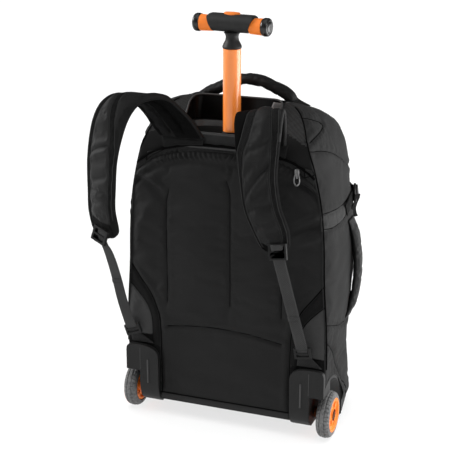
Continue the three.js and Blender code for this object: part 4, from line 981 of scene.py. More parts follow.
def make_back_trim():
    pipe, thread, tape, dark, pale, edges = Body(), Body(), Body(), Body(), Body(), Body()
    out = np.array([0.0, -1.0, 0.0])
    for sign in (-1.0, 1.0):
        z = np.concatenate([np.linspace(134, 470, 90), np.linspace(474, 512, 14)])
        edge = outline(z, 0 * z)
        path = np.stack([sign * (edge[:, 0] + 0.2), edge[:, 1] + 3.4 - 2.6 * step(470, 500, z), z], 1)
        pipe.tube(path, 1.5 - 0.5 * step(478, 512, z), 10)
        z = np.linspace(512, 556, 26)
        edge = outline(z, 0 * z)
        pipe.tube(np.stack([sign * edge[:, 0], edge[:, 1] - 0.2, z], 1), 1.0, 8)
        side = np.linspace(140, 470, 120)
        edge = outline(side, 0.02 + 0 * side)
        thread.stitches(np.stack([sign * (edge[:, 0] + 0.9), edge[:, 1] + 1.5, side], 1), (sign, -0.1, 0), pitch=4, long=2.6, r=0.3)
    # tape and piping along the arched top seam
    x = np.linspace(-152, 152, 200)
    z = arch(x)
    half, _, _, by, _ = section(z)
    x = np.clip(x, -(half - 2), half - 2)
    wob = 0.7 * ripples(x, 0 * x, 9, 30, 71)
    pipe.tube(np.stack([x, by - 1.9, z + 0.8 + 0.5 * wob], 1), 2.1 + 0.25 * wob, 10)
    low = np.stack([x, by + 0.4 + 0 * x, z - 12.5], 1)
    top = np.stack([x, by - 0.9 + 0 * x, z - 1], 1)
    P = np.stack([low + (top - low) * t for t in np.linspace(0, 1, 7)])
    P[..., 1] -= 0.8 * np.sin(np.linspace(0, 1, 7) * np.pi)[:, None] * (0.6 + 0.4 * np.sin(np.abs(P[..., 0]) * 2 * np.pi / 9.3))
    tape.shell(P, P + np.array([0, 1.8, 0]))
    q = np.linspace(-128, 128, 160)
    thread.stitches(np.stack([q, section(arch(q) - 7.6)[3] - 1.5, arch(q) - 7.6], 1), out, pitch=6.2, long=3.8, r=0.45)
    # the open slot above the slider: a black tube stands for its dark gap, painted shade
    q = smooth_line([(90, 484.6), (98, 484.8), (106, 483.6), (114, 480.8), (122, 476.8)], 40)
    dark.tube(np.stack([q[:, 0], np.full(40, -111.6), q[:, 1]], 1), np.linspace(2.4, 0.8, 40), 8)
    # zip garages where the tape ends
    patch_plate(tape, [(136.3, 458.6), (152.4, 464.9), (149, 470.5), (135.8, 473.5)], -110.6, 2.6)
    patch_plate(tape, [(-135.5, 461.0), (-126, 470.5), (-101, 484), (-134.7, 476)], -110.6, 2.4)
    for pts in ([(136.3, 458.6), (152.4, 464.9)], [(152.4, 464.9), (149, 470.5)], [(136.3, 458.6), (135.8, 473.5)], [(-135.5, 461), (-126, 470.5)], [(-126, 470.5), (-101, 484)], [(-135.5, 461), (-134.7, 476)]):
        q = np.linspace(pts[0], pts[1], 14)
        dark.tube(np.stack([q[:, 0], np.full(14, -112.6), q[:, 1]], 1), 0.6, 6)
    # sewn lines on the pad
    for line in ([(-103, 171), (-60, 176.5), (-16, 179), (40, 177), (101, 167)],):
        q = smooth_line(line, 80)
        dark.tube(pad_y(q[:, 0], q[:, 1], 0.0), 0.75, 6)
        thread.stitches(pad_y(q[:, 0], q[:, 1] - 3.4, 0.1), out, pitch=3.6, long=2.4, r=0.3)
    for seam_x, z0, z1 in ((-103, 214, 416), (10, 222, 441), (100, 214, 416)):
        q = np.linspace(z0, z1 - 2, 90)
        dark.tube(pad_y(seam_x - 6 * bell(q - z1, 14) * np.sign(seam_x), q, 0.0), 0.6, 6)
        # painted highlight: a light tube right of the left dart seam stands for the lit lip of its groove
        if seam_x < 0:
            edges.tube(pad_y(seam_x + 2.2 + 6 * bell(q - z1, 14), q, 0.1), 0.42, 6)
    for sign in (-1, 1):
        for line, off in ((CORNER_OUTER, 2.8), (CORNER_INNER, -2.4)):
            q = smooth_line(line, 110)
            q = q[q[:, 1] > (44 if off > 0 else 150)]
            dark.tube(pad_y(sign * q[:, 0], q[:, 1], 0.2), 0.8, 6)
            # painted highlight: a pale tube beside each corner seam stands for the lit lip of the seam
            d = unit(np.gradient(q, axis=0))
            e = q + 0.55 * off * np.stack([-d[:, 1], d[:, 0]], 1)
            pale.tube(pad_y(sign * e[:, 0], e[:, 1], 0.0), 0.5, 6)
            d = unit(np.gradient(q, axis=0))
            q = q + off * np.stack([-d[:, 1], d[:, 0]], 1)
            thread.stitches(pad_y(sign * q[:, 0], q[:, 1], 0.1), out, pitch=3.6, long=2.4, r=0.3)
    for sign in (-1, 1):
        # lower hem of the smooth corner
        q = np.stack([np.linspace(131.5, 171, 40), np.full(40, 150.0)], 1)
        dark.tube(pad_y(sign * q[:, 0], q[:, 1], 0.1), 0.6, 6)
        # painted highlight: a pale tube along the lit lip of the hem
        pale.tube(pad_y(sign * q[:, 0], q[:, 1] + 1.6, 0.0), 0.45, 6)
    # corded bottom edge with its band; both take the lighter strap cloth, painted light against the shade they lie in
    bx = np.linspace(-117.5, 117.5, 120)
    hem = Body()
    hem.tube(np.stack([bx, np.full(120, -109.6), np.full(120, 33.6)], 1), 1.4, 10)
    hem.piece("hem_cord", [CLOTH_STRAP], slot="cloth_back")
    dark.tube(np.stack([bx, np.full(120, -111.0), np.full(120, 45.9)], 1), 0.7, 6)
    pale.piece("seam_edge_painted_highlights", [TAPE_AND_HIGHLIGHT], slot="cloth_back")
    edges.piece("seam_painted_highlight", [PIPING_LIGHT_AND_HIGHLIGHT], slot="cloth_back")
    pipe.piece("seam_piping", [PIPING_DARK], slot="cloth_back")
    dark.piece("seam_lines_and_slot_shade", [SEAM], slot="cloth_back")
    ob = tape.piece("arch_tape", [TAPE_AND_HIGHLIGHT], slot="cloth_back")
    min(area_of(ob) / 2, 0.40 * 0.015)
    thread.piece("seam_stitches", [THREAD_DARK], slot="cloth_back", weld=False)
    # the band also takes the lighter strap cloth: painted light against the shade below the pad
    band = Body()
    z = np.linspace(33.2, 45.5, 14)[:, None]
    x = np.linspace(-117.3, 117.3, 90)[None]
    P = np.stack([x + 0 * z, -109.2 - 2.0 * np.clip(np.sin(np.pi * (z - 33.2) / 12.3), 0, 1) ** 0.25 + 0 * x, z + 0 * x], -1)
    band.shell(P, P + np.array([0, 2.2, 0]))
    ob = band.piece("bottom_band", [CLOTH_STRAP], slot="webbing")
    declare_sheet(ob, 0.238, 0.016)


make_back_trim()


# ------------------------------------------------------------------ padded shoulder straps
def strap_frames(rows, steps):
    n = len(rows)
    t = np.linspace(0, n - 1, (n - 1) * steps + 1)
    at = lambda w: hermite(np.arange(n), rows, np.clip(w, 0, n - 1))
    R = at(t)
    along = unit(at(t + 0.05)[:, :3] - at(t - 0.05)[:, :3])
    head, dip = np.radians(R[:, -2]), np.radians(R[:, -1])
    across = np.stack([np.cos(dip) * np.cos(head), np.cos(dip) * np.sin(head), np.sin(dip)], 1)
    out = unit(np.cross(along, across))
    return t, R, along, across, out


def make_strap(name, rows, node, left_band, right_band, creases, right_lining, dark_end, end_mat, panel):
    t, R, along, across, out = strap_frames(rows, 22)
    T = 14.0
    s = lengths(R[:, :3])[:, None]
    round_end = ((s - s[-1] + 16) / 16).clip(0, 1)
    half = R[:, 3:4] / 2 * (0.3 + 0.7 * np.sqrt(np.clip(1 - round_end ** 2.4, 0, 1)))
    edge = 3.4
    a = np.linspace(1, -1, 56)[None]
    xo = a * (half - edge)
    body = T / 2 * (0.66 + 0.34 * (1 - np.abs(a) ** 2.6))
    # outer face: side bands with corded edges, and a crowned middle panel
    l0 = -half + hermite(*left_band[0], t)[:, None]
    l1 = l0 + hermite(*left_band[1], t)[:, None]
    r1 = half - hermite(*right_band[0], t)[:, None]
    r0 = r1 - hermite(*right_band[1], t)[:, None]
    live = step(0.3, 0.9, t)[:, None]
    h = body.repeat(len(t), 0)
    mid = np.clip((xo - l1) / np.maximum(r0 - l1, 1), 0, 1)
    h = h + live * 3.0 * (4 * mid * (1 - mid)) ** 0.7 * ((xo > l1) & (xo < r0))
    inner = step(0.0, 0.12, mid) * step(1.0, 0.88, mid)
    for line in (l1, r0):
        h = h - live * 1.5 * bell(xo - line, 1.4)
    for line in (l0, r1):
        h = h - live * 1.1 * bell(xo - line, 1.3) * (np.abs(line) < half - 4)
    for at, where, wide, deep, slant in creases:
        d = s - at - slant * (xo - where * half) - 0.012 * np.minimum(xo + 4, 0) ** 2
        h = h + inner * deep * (-bell(d, wide) + 0.8 * bell(d - 2.3 * wide, 1.7 * wide) + 0.35 * bell(d + 2.3 * wide, 1.6 * wide))
    h = h + 0.5 * ripples(s + 0 * xo, xo, 24, 80, sum(map(ord, name))) * inner
    ends = np.sqrt(np.clip(1 - ((s - s[-1] + 9) / 9).clip(0, 1) ** 2, 0.02, 1))
    h = h * np.where(s > s[-1] - 9, ends, 1)
    # inner face: three soft ridges with two sewn channels between them
    ai = -a
    xi = ai * (half - edge)
    g = body.repeat(len(t), 0)
    for c in (-0.30, 0.30):
        g = g - 3.6 * bell(xi - c * half, 2.8) * step(0.15, 0.6, t)[:, None] + 0.7 * bell(np.abs(xi - c * half) - 8, 5)
    g = g * np.where(s > s[-1] - 9, ends, 1)
    # rounded edges
    turn = np.linspace(0, np.pi, 9)[1:-1]
    hl, hr = h[:, -1:], h[:, :1]
    gl, gr = g[:, :1], g[:, -1:]
    lx = -(half - edge) - edge * np.sin(turn)[None]
    ln = np.where(np.cos(turn)[None] > 0, hl, gl) * np.cos(turn)[None]
    rx = (half - edge) + edge * np.sin(turn)[None]
    rn = np.where(np.cos(turn)[None][:, ::-1] > 0, hr, gr) * np.cos(turn)[None][:, ::-1]
    X = np.concatenate([xo, lx, xi, rx], 1)
    H = np.concatenate([h, ln, -g, rn], 1)
    rings = R[:, None, :3] + X[..., None] * across[:, None] + H[..., None] * out[:, None]
    # the sewn tube of cloth puffs up between its seams and edges
    pin = np.zeros(X.shape)
    n_o = xo.shape[1]
    for line in (l1, r0):
        pin[:, :n_o][np.abs(xo - line) < 1.6] = 1
    for c in (-0.30, 0.30):
        pin[:, n_o + 7:2 * n_o + 7][np.abs(xi - c * half) < 1.6] = 1
    pin[:, n_o:n_o + 7] = pin[:, 2 * n_o + 7:] = 1
    pin[:9], pin[-26:] = 1, 1
    move = drape(rings[::4, ::3], pin[::4, ::3], wrap=True, pressure=4.0, grow=0.012, cap=2.0, bend=3.0)
    rings = rings + resample(t[::4], np.arange(0, 126, 3.0), move, t, np.arange(126.0), period=126)
    h = ((rings[:, :n_o] - R[:, None, :3]) * out[:, None]).sum(2)
    # material by place across: 0 panel, 1 band, 2 inner mesh, 3 black lining
    n_o, n_t, n_i = xo.shape[1], len(turn), xi.shape[1]
    mid_x = 0.25 * (X[:-1] + X[1:] + np.roll(X, -1, 1)[:-1] + np.roll(X, -1, 1)[1:])
    m = np.zeros(mid_x.shape, int)
    L0, L1, R0, R1 = (0.5 * (q[:-1] + q[1:]) for q in (l0, l1, r0, r1))
    m[(mid_x < L1)] = 1
    m[(mid_x > R0)] = 1
    m[(mid_x < L0)] = 3
    m[(mid_x > R1)] = 3
    m[:, n_o - 1:n_o + n_t] = np.where(hermite(*left_band[0], t[:-1])[:, None] > 3, 3, 1)
    m[:, :n_o - 1][(mid_x > R1)[:, :n_o - 1]] = right_lining
    m[:, :n_o - 1][np.broadcast_to(s[:-1] > s[-1] - dark_end + 0.45 * (mid_x[:, :n_o - 1] + 4), m[:, :n_o - 1].shape)] = end_mat
    m[:, n_o + n_t:n_o + n_t + n_i - 1] = np.where(np.abs(mid_x[:, n_o + n_t:n_o + n_t + n_i - 1] + 0.44 * half[:-1]) < 0.3 * half[:-1], 1, 2)
    m[:, n_o + n_t + n_i - 1:] = np.where(hermite(*right_band[0], t[:-1])[:, None] > 3, right_lining, 1)
    b = Body()
    b.grid(rings, wrap=True, mat=m)
    b.fan(rings[0], mat=2)
    b.fan(rings[-1], mat=1)
    ob = b.piece(name, [panel, BAND, MESH_DARK, CLOTH_BLACK, WEB, CLOTH_LINING], nodes=node, slot="cloth_strap")
    # corded edges of the bands, and their stitches
    cord, thread = Body(), Body()
    live_rows = (t > 0.9) & (t < 11.9) & (s[:, 0] < s[-1, 0] - dark_end + 4)
    for line, extra in ((l1, 0.25), (r0, 0.25), (l0, 0.1), (r1, 0.1)):
        line = np.clip(line[:, 0], -(half[:, 0] - edge), half[:, 0] - edge)
        h_at = np.array([np.interp(-line[i], -xo[i], h[i]) for i in range(len(t))])
        path = R[:, :3] + line[:, None] * across + (h_at + extra)[:, None] * out
        inside = live_rows & (np.abs(line) < half[:, 0] - 1.0)
        if inside.sum() > 8:
            cord.tube(path[inside], 0.62, 8)
    for line, off in ((l1, 2.6), (r0, -2.6), (l1, -2.4), (r0, 2.4)):
        line = np.clip(line[:, 0] + off, -(half[:, 0] - edge), half[:, 0] - edge)
        h_at = np.array([np.interp(-line[i], -xo[i], h[i]) for i in range(len(t))])
        path = R[:, :3] + line[:, None] * across + h_at[:, None] * out
        thread.stitches(path[live_rows], out[live_rows], pitch=3.8, long=2.5, r=0.36)
    cord.piece(name + "_cording", [PIPING_LIGHT_AND_HIGHLIGHT], slot="cloth_strap")
    thread.piece(name + "_stitches", [THREAD], slot="cloth_strap", weld=False)
    return ob


ROWS = np.arange(13.0)
# the right strap takes the darker copy of the strap cloth: painted shade
make_strap(
    "strap_pad_right", STRAP_RIGHT, "shoulder_strap_right",
    ((ROWS, np.array([34, 33, 31, 27.5, 24, 20, 11.5, 2.5, 0, 0, 0, 0, 0.0])), (ROWS, np.array([13, 13, 13, 13, 13, 13, 12.5, 10.5, 7.5, 6.5, 6.5, 6.5, 5.0]))),
    ((ROWS, np.array([9, 9, 9, 9, 7.5, 5.5, 3.5, 1.0, 0, 0, 0, 0, 0.0])), (ROWS, np.array([11, 11, 11, 11, 11, 10.5, 10.5, 10.5, 11, 11, 11, 10, 7.0]))),
    ((168, 0.0, 6.0, 2.4, -1.15), (120, 0.0, 6.0, 1.2, -0.5), (213, 0.0, 4.5, 1.8, -0.18), (240, 0.1, 5.0, 1.2, -0.3)), 0, 16, 3, CLOTH_STRAP_SHADE)
make_strap(
    "strap_pad_left", STRAP_LEFT, "shoulder_strap_left",
    ((ROWS, np.zeros(13)), (ROWS, np.array([10, 10, 10, 10, 10, 9.5, 9, 9, 9.5, 10, 10, 9, 6.0]))),
    ((ROWS, np.array([42, 42, 42, 43, 43, 33, 22.5, 11, 1, 0, 0, 0, 0.0])), (ROWS, np.array([8, 8, 8, 8, 8, 8.5, 9.3, 9, 11, 11, 10.5, 10, 7.0]))),
    ((212, -0.1, 3.6, 3.4, -0.35), (264, -0.1, 6.0, 1.8, -0.3), (285, 0.1, 5.0, 1.8, 0.35), (304, -0.1, 5.0, 1.6, -0.3), (160, 0.0, 8.0, 1.0, 0.4)), 5, 37, 1, CLOTH_STRAP)


# ------------------------------------------------------------------ strap bases, webbing, tabs
def make_bases():
    for sign, side in ((-1, "left"), (1, "right")):
        x, v = np.meshgrid(np.linspace(33, 108, 40), np.linspace(0, 1, 14))
        x = x + (1 - v) * np.where(x > 70, -4.5, 3.0) * np.abs(x - 70) / 38
        low = np.maximum(arch(x) + 1.0, 486.5)
        z = low + (508.6 - low) * v
        edge = np.minimum(np.minimum(x - 33, 108 - x), np.minimum(z - low, 508.6 - z)).clip(0)
        puff = 1.3 * (1 - bell(edge, 3.0)) - 0.9 * bell(edge - 4.5, 1.2)
        y = -112.6 - puff + 0.25 * ripples(x, z, 14, 40, 31)
        P = np.stack([sign * x, y, z], -1)
        Q = np.stack([sign * x, -110.7 + 0 * y, z], -1)
        b = Body()
        b.shell(P, Q)
        ob = b.piece(f"strap_base_{side}", [CLOTH_YOKE], nodes=f"strap_anchor_{side}", slot="cloth_strap")
        thread = Body()
        ring = np.array([(39, 497.5), (70, 495.5), (100, 489.5), (103.5, 505), (37.5, 505), (39, 497.5)], float)
        for a, c in zip(ring[:-1], ring[1:]):
            p = np.linspace(a, c, 20)
            thread.stitches(np.stack([sign * p[:, 0], -113.9 + 0 * p[:, 0], p[:, 1]], 1), (0, -1, 0), pitch=3.6, long=2.4, r=0.32)
        thread.piece(f"strap_base_{side}_stitches", [THREAD_DARK], slot="cloth_strap", weld=False)


make_bases()


def ribbon(b, path, across, out, wide, thick, mat=0, n=9):
    """Flat tape with soft edges along a path."""
    a = np.linspace(1, -1, n)
    soft = np.sqrt(np.clip(1 - np.abs(a) ** 6, 0.08, 1))
    X = np.concatenate([a, -a]) * wide / 2
    H = np.concatenate([soft, -soft]) * thick / 2
    rings = path[:, None] + X[None, :, None] * across[:, None] + H[None, :, None] * out[:, None]
    u = np.concatenate([a, -a, a[:1]]) * wide / 2 * 0.001
    s = lengths(path) * 0.001
    uv = np.stack(np.broadcast_arrays(u[None], s[:, None]), -1)
    b.loft(rings, mat, uv=uv)


def make_webbing():
    for rows, side, hem in ((WEB_LEFT, "left", None), (WEB_RIGHT, "right", 0.60)):
        t, R, along, across, out = strap_frames(rows, 24)
        b = Body()
        path = R[:, :3].copy()
        # slack tape bows and twists a little between its two ends
        share = t / t[-1]
        path = path + out * (1.6 * np.sin(np.pi * share) + 0.5 * np.sin(3 * np.pi * share))[:, None]
        ribbon(b, path, across, out, 20.0, 1.8)
        s = lengths(path)
        for at in ([0.62] if hem else [0.45]):
            k = (s > s[-1] * at) & (s < s[-1] * at + 9)
            ribbon(b, path[k] + out[k] * 1.2, across[k], out[k], 20.2, 1.0)
        ob = b.piece(f"strap_web_{side}", [WEB], nodes=f"strap_webbing_{side}", slot="webbing")
        thread = Body()
        k0 = s[-1] * (0.62 if hem else 0.45)
        for d in (2.0, 7.0):
            i = int(np.searchsorted(s, k0 + d))
            line = path[i] + np.linspace(-8.5, 8.5, 12)[:, None] * across[i] + out[i] * 1.9
            thread.stitches(line, out[i], pitch=2.4, long=1.8, r=0.3)
        thread.piece(f"strap_web_{side}_stitches", [THREAD], slot="webbing", weld=False)


def make_loop():
    """Short dark loop that holds the left ladder lock to its strap."""
    path = smooth_line([(-184, -191.5, 360), (-184.8, -192.0, 351), (-185.4, -192.3, 343), (-185.8, -192.3, 336.8)], 24)
    head = math.radians(-17)
    across = np.repeat([[math.cos(head), math.sin(head), -0.2]], 24, 0)
    along = unit(np.gradient(path, axis=0))
    b = Body()
    ribbon(b, path, unit(across), unit(np.cross(along, across)), 24.0, 1.4)
    ob = b.piece("lock_loop_left", [CLOTH_BLACK], slot="webbing")
    declare_sheet(ob, 0.024, round(float(lengths(path)[-1]) * 0.001 + 0.001, 3))


make_webbing()
make_loop()


def make_tabs():
    spots = {"left": ((-172, -152, 151.2), (-168, -128, 135.5)), "right": ((131, 153, 152.6), (129, 172, 135.5))}
    for side, ((tx0, tx1, tz), (lx0, lx1, lz)) in spots.items():
        v, u = np.linspace(0, 1, 10)[:, None], np.linspace(0, 1, 22)[None]
        x0, x1 = lx0 + (tx0 - lx0) * v, lx1 + (tx1 - lx1) * v
        x = x0 + (x1 - x0) * u
        z = lz + (tz - lz) * v + 0 * u
        e = np.minimum(np.minimum(u, 1 - u) * 30, np.minimum(v, 1 - v) * 16).clip(0)
        y = -113.0 - 0.9 * (1 - bell(e, 1.6)) - 0.25 * ripples(x, z, 10, 30, 41)
        P = np.stack([x, y, z], -1)
        Q = np.stack([x, -110.8 + 0 * y, z], -1)
        b = Body()
        b.shell(P, Q)
        ob = b.piece(f"tab_{side}", [TAPE_AND_HIGHLIGHT], nodes=f"strap_tab_{side}", slot="webbing")
        thread = Body()
        for d in (2.2, 5.0):
            line = np.stack([np.linspace(lx0 + 3, lx1 - 3, 30), np.full(30, -114.0), np.full(30, lz + d)], 1)
            thread.stitches(line, (0, -1, 0), pitch=2.8, long=2.0, r=0.3)
        thread.piece(f"tab_{side}_stitches", [THREAD_DARK], slot="webbing", weld=False)


make_tabs()

for side in ("left", "right"):
    rounded(f"ladder_lock_{side}", f"adjuster_{side}", PLASTIC, "bag", 0.9)
    rounded(f"strap_buckle_{side}", f"loop_{side}", PLASTIC, "bag", 0.8)
    rounded(f"wheel_housing_{side}", f"housing_{side}", PLASTIC_HOUSING, "bag", 3.0, segments=4)


def make_ribs():
    """Raised rib and edge line on the face of each wheel housing, both in lighter plastic as painted highlight."""
    for sign, side in ((-1.0, "left"), (1.0, "right")):
        b = Body()
        z = np.linspace(64, 105, 24)
        b.tube(np.stack([np.full(24, sign * 138.0), np.full(24, -119.1), z], 1), 1.5, 10)
        z = np.linspace(87, 126, 24)
        b.tube(np.stack([np.full(24, sign * 152.0), np.full(24, -118.9), z], 1), 0.45, 8)
        b.piece(f"housing_rib_{side}", [PLASTIC_HIGHLIGHT], slot="plastic")


make_ribs()


def make_arches():
    """Moulded lip and flared liner of each wheel arch, where the cloth stops short of the wheel; both in a darker copy
    of the housing plastic, painted shade inside the arch.
    """
    for sign, side in ((-1.0, "left"), (1.0, "right")):
        a = np.radians(np.linspace(118, -3.4, 80))
        down = np.linspace(0, 1, 18)[1:]
        ring = lambda r, low: (np.concatenate([WHEEL[0] + r * np.cos(a), WHEEL[0] + r * math.cos(a[-1]) + 0 * down]),
                               np.concatenate([WHEEL[1] + r * np.sin(a), WHEEL[1] + r * math.sin(a[-1]) + (low - 36) * down]))
        y, z = ring(66.6, 11.0)
        edge = np.array([np.interp(yy, outline(zz, ARC_S)[:60, 1], outline(zz, ARC_S)[:60, 0]) for yy, zz in zip(y, np.maximum(z, 36))])
        b = Body()
        b.tube(np.stack([sign * (edge - 0.6), y, z], 1), 1.1, 10)
        rows = []
        for t in np.linspace(0, 1, 14):
            y, z = ring(66.4 - 19.6 * t ** 0.9, 11.0 + 17.0 * t)
            rows.append(np.stack([sign * (edge + (160.5 - edge) * t), y, z], 1))
        P = np.array(rows)
        off = np.concatenate([np.stack([np.cos(a), np.sin(a)], 1), np.repeat([[1.0, 0.0]], len(down), 0)])
        b.shell(P, P + np.stack([0 * off[:, 0] - sign * 0.6, 1.2 * off[:, 0], 1.2 * off[:, 1]], 1))
        b.piece(f"wheel_arch_{side}", [PLASTIC_ARCH_SHADE], slot="plastic")


make_arches()


# ------------------------------------------------------------------ handles
def make_handles():
    def bar(P, tall, deep, name, node, seed):
        T = unit(np.gradient(P, axis=0))
        depth = np.array([0.0, 1, 0])
        out = unit(np.cross(T, depth))
        s = lengths(P)
        end = np.minimum(s, s[-1] - s)
        flat = step(0, 26, end)[:, None]

        def rings(n):
            a = np.linspace(0, 2 * np.pi, n, endpoint=False)
            ca, sa = np.cos(a), np.sin(a)
            r_out = tall[:, None] / 2 * np.sign(ca) * np.abs(ca) ** 0.85
            r_deep = deep[:, None] / 2 * np.sign(sa) * np.abs(sa) ** 0.85
            wrinkle = 1 + 0.007 * ripples(s[:, None] + 0 * ca, a[None] * 9 + 0 * s[:, None], 9, 40, seed) * flat
            return a, P[:, None] + (r_out * wrinkle)[..., None] * out[:, None] + (r_deep * wrinkle)[..., None] * depth

        a0, coarse = rings(22)
        pin = np.zeros(coarse.shape[:2])
        pin[end < 14] = 1
        pin[:, [5, 6, 16, 17]] = 1
        move = drape(coarse[::2], pin[::2], wrap=True, pressure=3.0, grow=0.02, cap=1.0)
        a1, fine = rings(44)
        fine = fine + resample(s[::2], a0, move, np.clip(s, 0, s[::2][-1]), a1, period=2 * np.pi)
        b = Body()
        b.loft(fine)
        ob = b.piece(name, [CLOTH_HANDLE], nodes=node, slot="cloth_strap")
        thread = Body()
        for side in (-1, 1):
            line = P + depth * side * deep[:, None] * 0.485 - out * 0.6
            k = end > 8
            thread.stitches(line[k], unit(depth * side - out * 0.2)[k], pitch=4, long=2.6, r=0.4)
        thread.piece(name + "_stitches", [THREAD_DARK], slot="cloth_strap", weld=False)
        return ob

    half = [(0, 592.3), (18, 590.6), (34, 585.6), (52, 577), (64, 568.5), (72, 562.4), (80, 558.4), (90, 555.2), (100, 550.6)]
    right = [(18, 590.6), (34, 585.6), (52, 577), (65, 569.5), (75, 563.6), (86, 558.2), (98, 553.6), (110, 548.8)]
    xz = smooth_line([(-x, z) for x, z in half[::-1]] + right, 121)
    ax = np.where(xz[:, 0] > 0, 0.9, -1.0) * xz[:, 0]
    # the soft handle leans a little to the right
    xz = xz + np.stack([11.0 * step(552, 574, xz[:, 1]), -3.0 * step(560, 590, xz[:, 1]) - 3.0 * bell(xz[:, 0] + 45, 30)], 1)
    bar(np.stack([xz[:, 0], np.full(121, -18.0), xz[:, 1]], 1), 18.0 - 12.2 * step(64, 84, ax), 27 + 3 * step(66, 86, ax), "grab_loop", "grab_handle", 51)
    t = np.linspace(0, 1, 91)
    z = 189 + 173 * t
    x = section(z)[1] + 1 + 12.2 * np.sin(np.pi * t) ** 0.75
    e = np.minimum(t, 1 - t) * 173
    bar(np.stack([x, np.full(91, 6.0), z], 1), 12 - 5 * step(26, 4, e), 30 + 0 * e, "side_grip", "side_handle", 52)


make_handles()


# ------------------------------------------------------------------ compression straps
def make_side_straps():
    for sign, side in ((1.0, "right"), (-1.0, "left")):
        y = np.linspace(-88, 62, 90)
        z = 372 + 26 * (y + 88) / 150
        share = np.array([np.interp(yy, outline(zz, ARC_S)[:, 1], ARC_S) for yy, zz in zip(y, z)])
        # pulled tight over the cloth: it clears the highest place across its width
        p, n = on_shell(share, z, 0.0 * z, sign)
        high = np.full(len(y), -9.0)
        for off in (-9.5, -6, -3, 0, 3, 6, 9.5):
            q, _ = on_skin(share, z + off, 0.0, sign)
            base, m = on_shell(share, z + off, 0.0 * z, sign)
            high = np.maximum(high, ((q - base) * m).sum(1))
        for _ in range(6):
            high = np.maximum(high, np.convolve(np.pad(high, 2, mode="edge"), np.ones(5) / 5, "valid"))
        p = p + n * (high + 1.3 + 6.0 * bell(y - 42, 9))[:, None]
        along = unit(np.gradient(p, axis=0))
        n = unit(n - along * (n * along).sum(1, keepdims=True))
        across = unit(np.cross(along, n))
        b = Body()
        seen = y > -24
        ribbon(b, p[seen], across[seen], n[seen], 20.0, 1.8)
        # the free end hangs from the clip in a loose fold
        k = int(np.argmin(np.abs(y - 36)))
        drop = np.array([(0, 9.5), (-9, 9.0), (-18, 6.0), (-27, 4.0), (-34, 5.5), (-38, 7.5)], float)
        drop = smooth_line(drop, 30)
        tail = p[k] + n[k] * (drop[:, 1:] - 5.0) + np.array([0, 0, 1.0]) * drop[:, :1] * 1.0 + along[k] * drop[:, :1] * 0.12
        t_al = unit(np.gradient(tail, axis=0))
        wide = np.broadcast_to(along[k], t_al.shape)
        wide = unit(wide - t_al * (wide * t_al).sum(1, keepdims=True))
        ribbon(b, tail, wide, unit(np.cross(wide, t_al)), 19.0, 1.6)
        ob = b.piece(f"side_tape_{side}", [BINDING], nodes=f"side_strap_{side}", slot="webbing")
        # ladder clip
        k = int(np.argmin(np.abs(y - 42)))
        c, a, w, o = p[k] - n[k] * 1.6, along[k], across[k], n[k]
        ang = np.linspace(0, 2 * np.pi, 48, endpoint=False)
        ex = np.sign(np.cos(ang)) * np.abs(np.cos(ang)) ** 0.45 * 11.8
        ey = np.sign(np.sin(ang)) * np.abs(np.sin(ang)) ** 0.45 * 12.2
        clip = Body()
        clip.tube(c + ex[:, None] * a + ey[:, None] * w, 2.1, 10, closed=True, up=o, flat=1.0)
        for at in (-4.5, 4.5):
            clip.tube(c + at * a + np.linspace(-11, 11, 8)[:, None] * w + o * (3.4 if at > 0 else 3.0), 1.8, 10, up=o)
        clip.piece(f"side_clip_{side}", [PLASTIC], nodes=f"side_buckle_{side}", slot="plastic")


make_side_straps()


# ------------------------------------------------------------------ zip, slider and pull
def make_zip():
    slider = Body()
    cx, cz, cy = 124.0, 466.0, -114.2
    a = np.linspace(0, 2 * np.pi, 36, endpoint=False)
    ring = lambda rx, rz, y, dz: np.stack([cx + rx * np.sign(np.cos(a)) * np.abs(np.cos(a)) ** 0.7, np.full(36, y), cz + dz + rz * np.sign(np.sin(a)) * np.abs(np.sin(a)) ** 0.7], 1)
    slider.loft([ring(3.4, 4.6, cy + 3.4, 1), ring(4.0, 5.0, cy + 2.8, 1), ring(4.0, 5.0, cy - 0.4, 1), ring(3.2, 4.2, cy - 1.2, 1)])
    bridge = np.array([(cx, cy - 1.0, cz + 4.5), (cx, cy - 2.4, cz + 3.4), (cx, cy - 2.7, cz + 1), (cx, cy - 2.4, cz - 1.4), (cx, cy - 1.0, cz - 2.6)])
    slider.tube(smooth_line(bridge, 14), 0.8, 8, up=(1, 0, 0))
    loop = np.stack([cx + 0.6 + 4.3 * np.sin(a) * (1 - 0.22 * np.cos(a)), np.full(36, cy - 2.4), cz - 10.0 + 10.2 * np.cos(a)], 1)
    loop[:, 1] += 0.06 * (loop[:, 2] - cz + 10)
    slider.tube(loop, 1.15, 10, closed=True, up=(0, 1, 0))
    mid = np.stack([np.full(10, cx + 0.6), np.full(10, cy - 2.4), np.linspace(cz - 3, cz - 8, 10)], 1)
    slider.tube(mid, 1.4, 8, up=(0, 1, 0), flat=0.6)
    slider.piece("zip_pull", [STEEL], nodes="zip_slider", slot="steel")


make_zip()


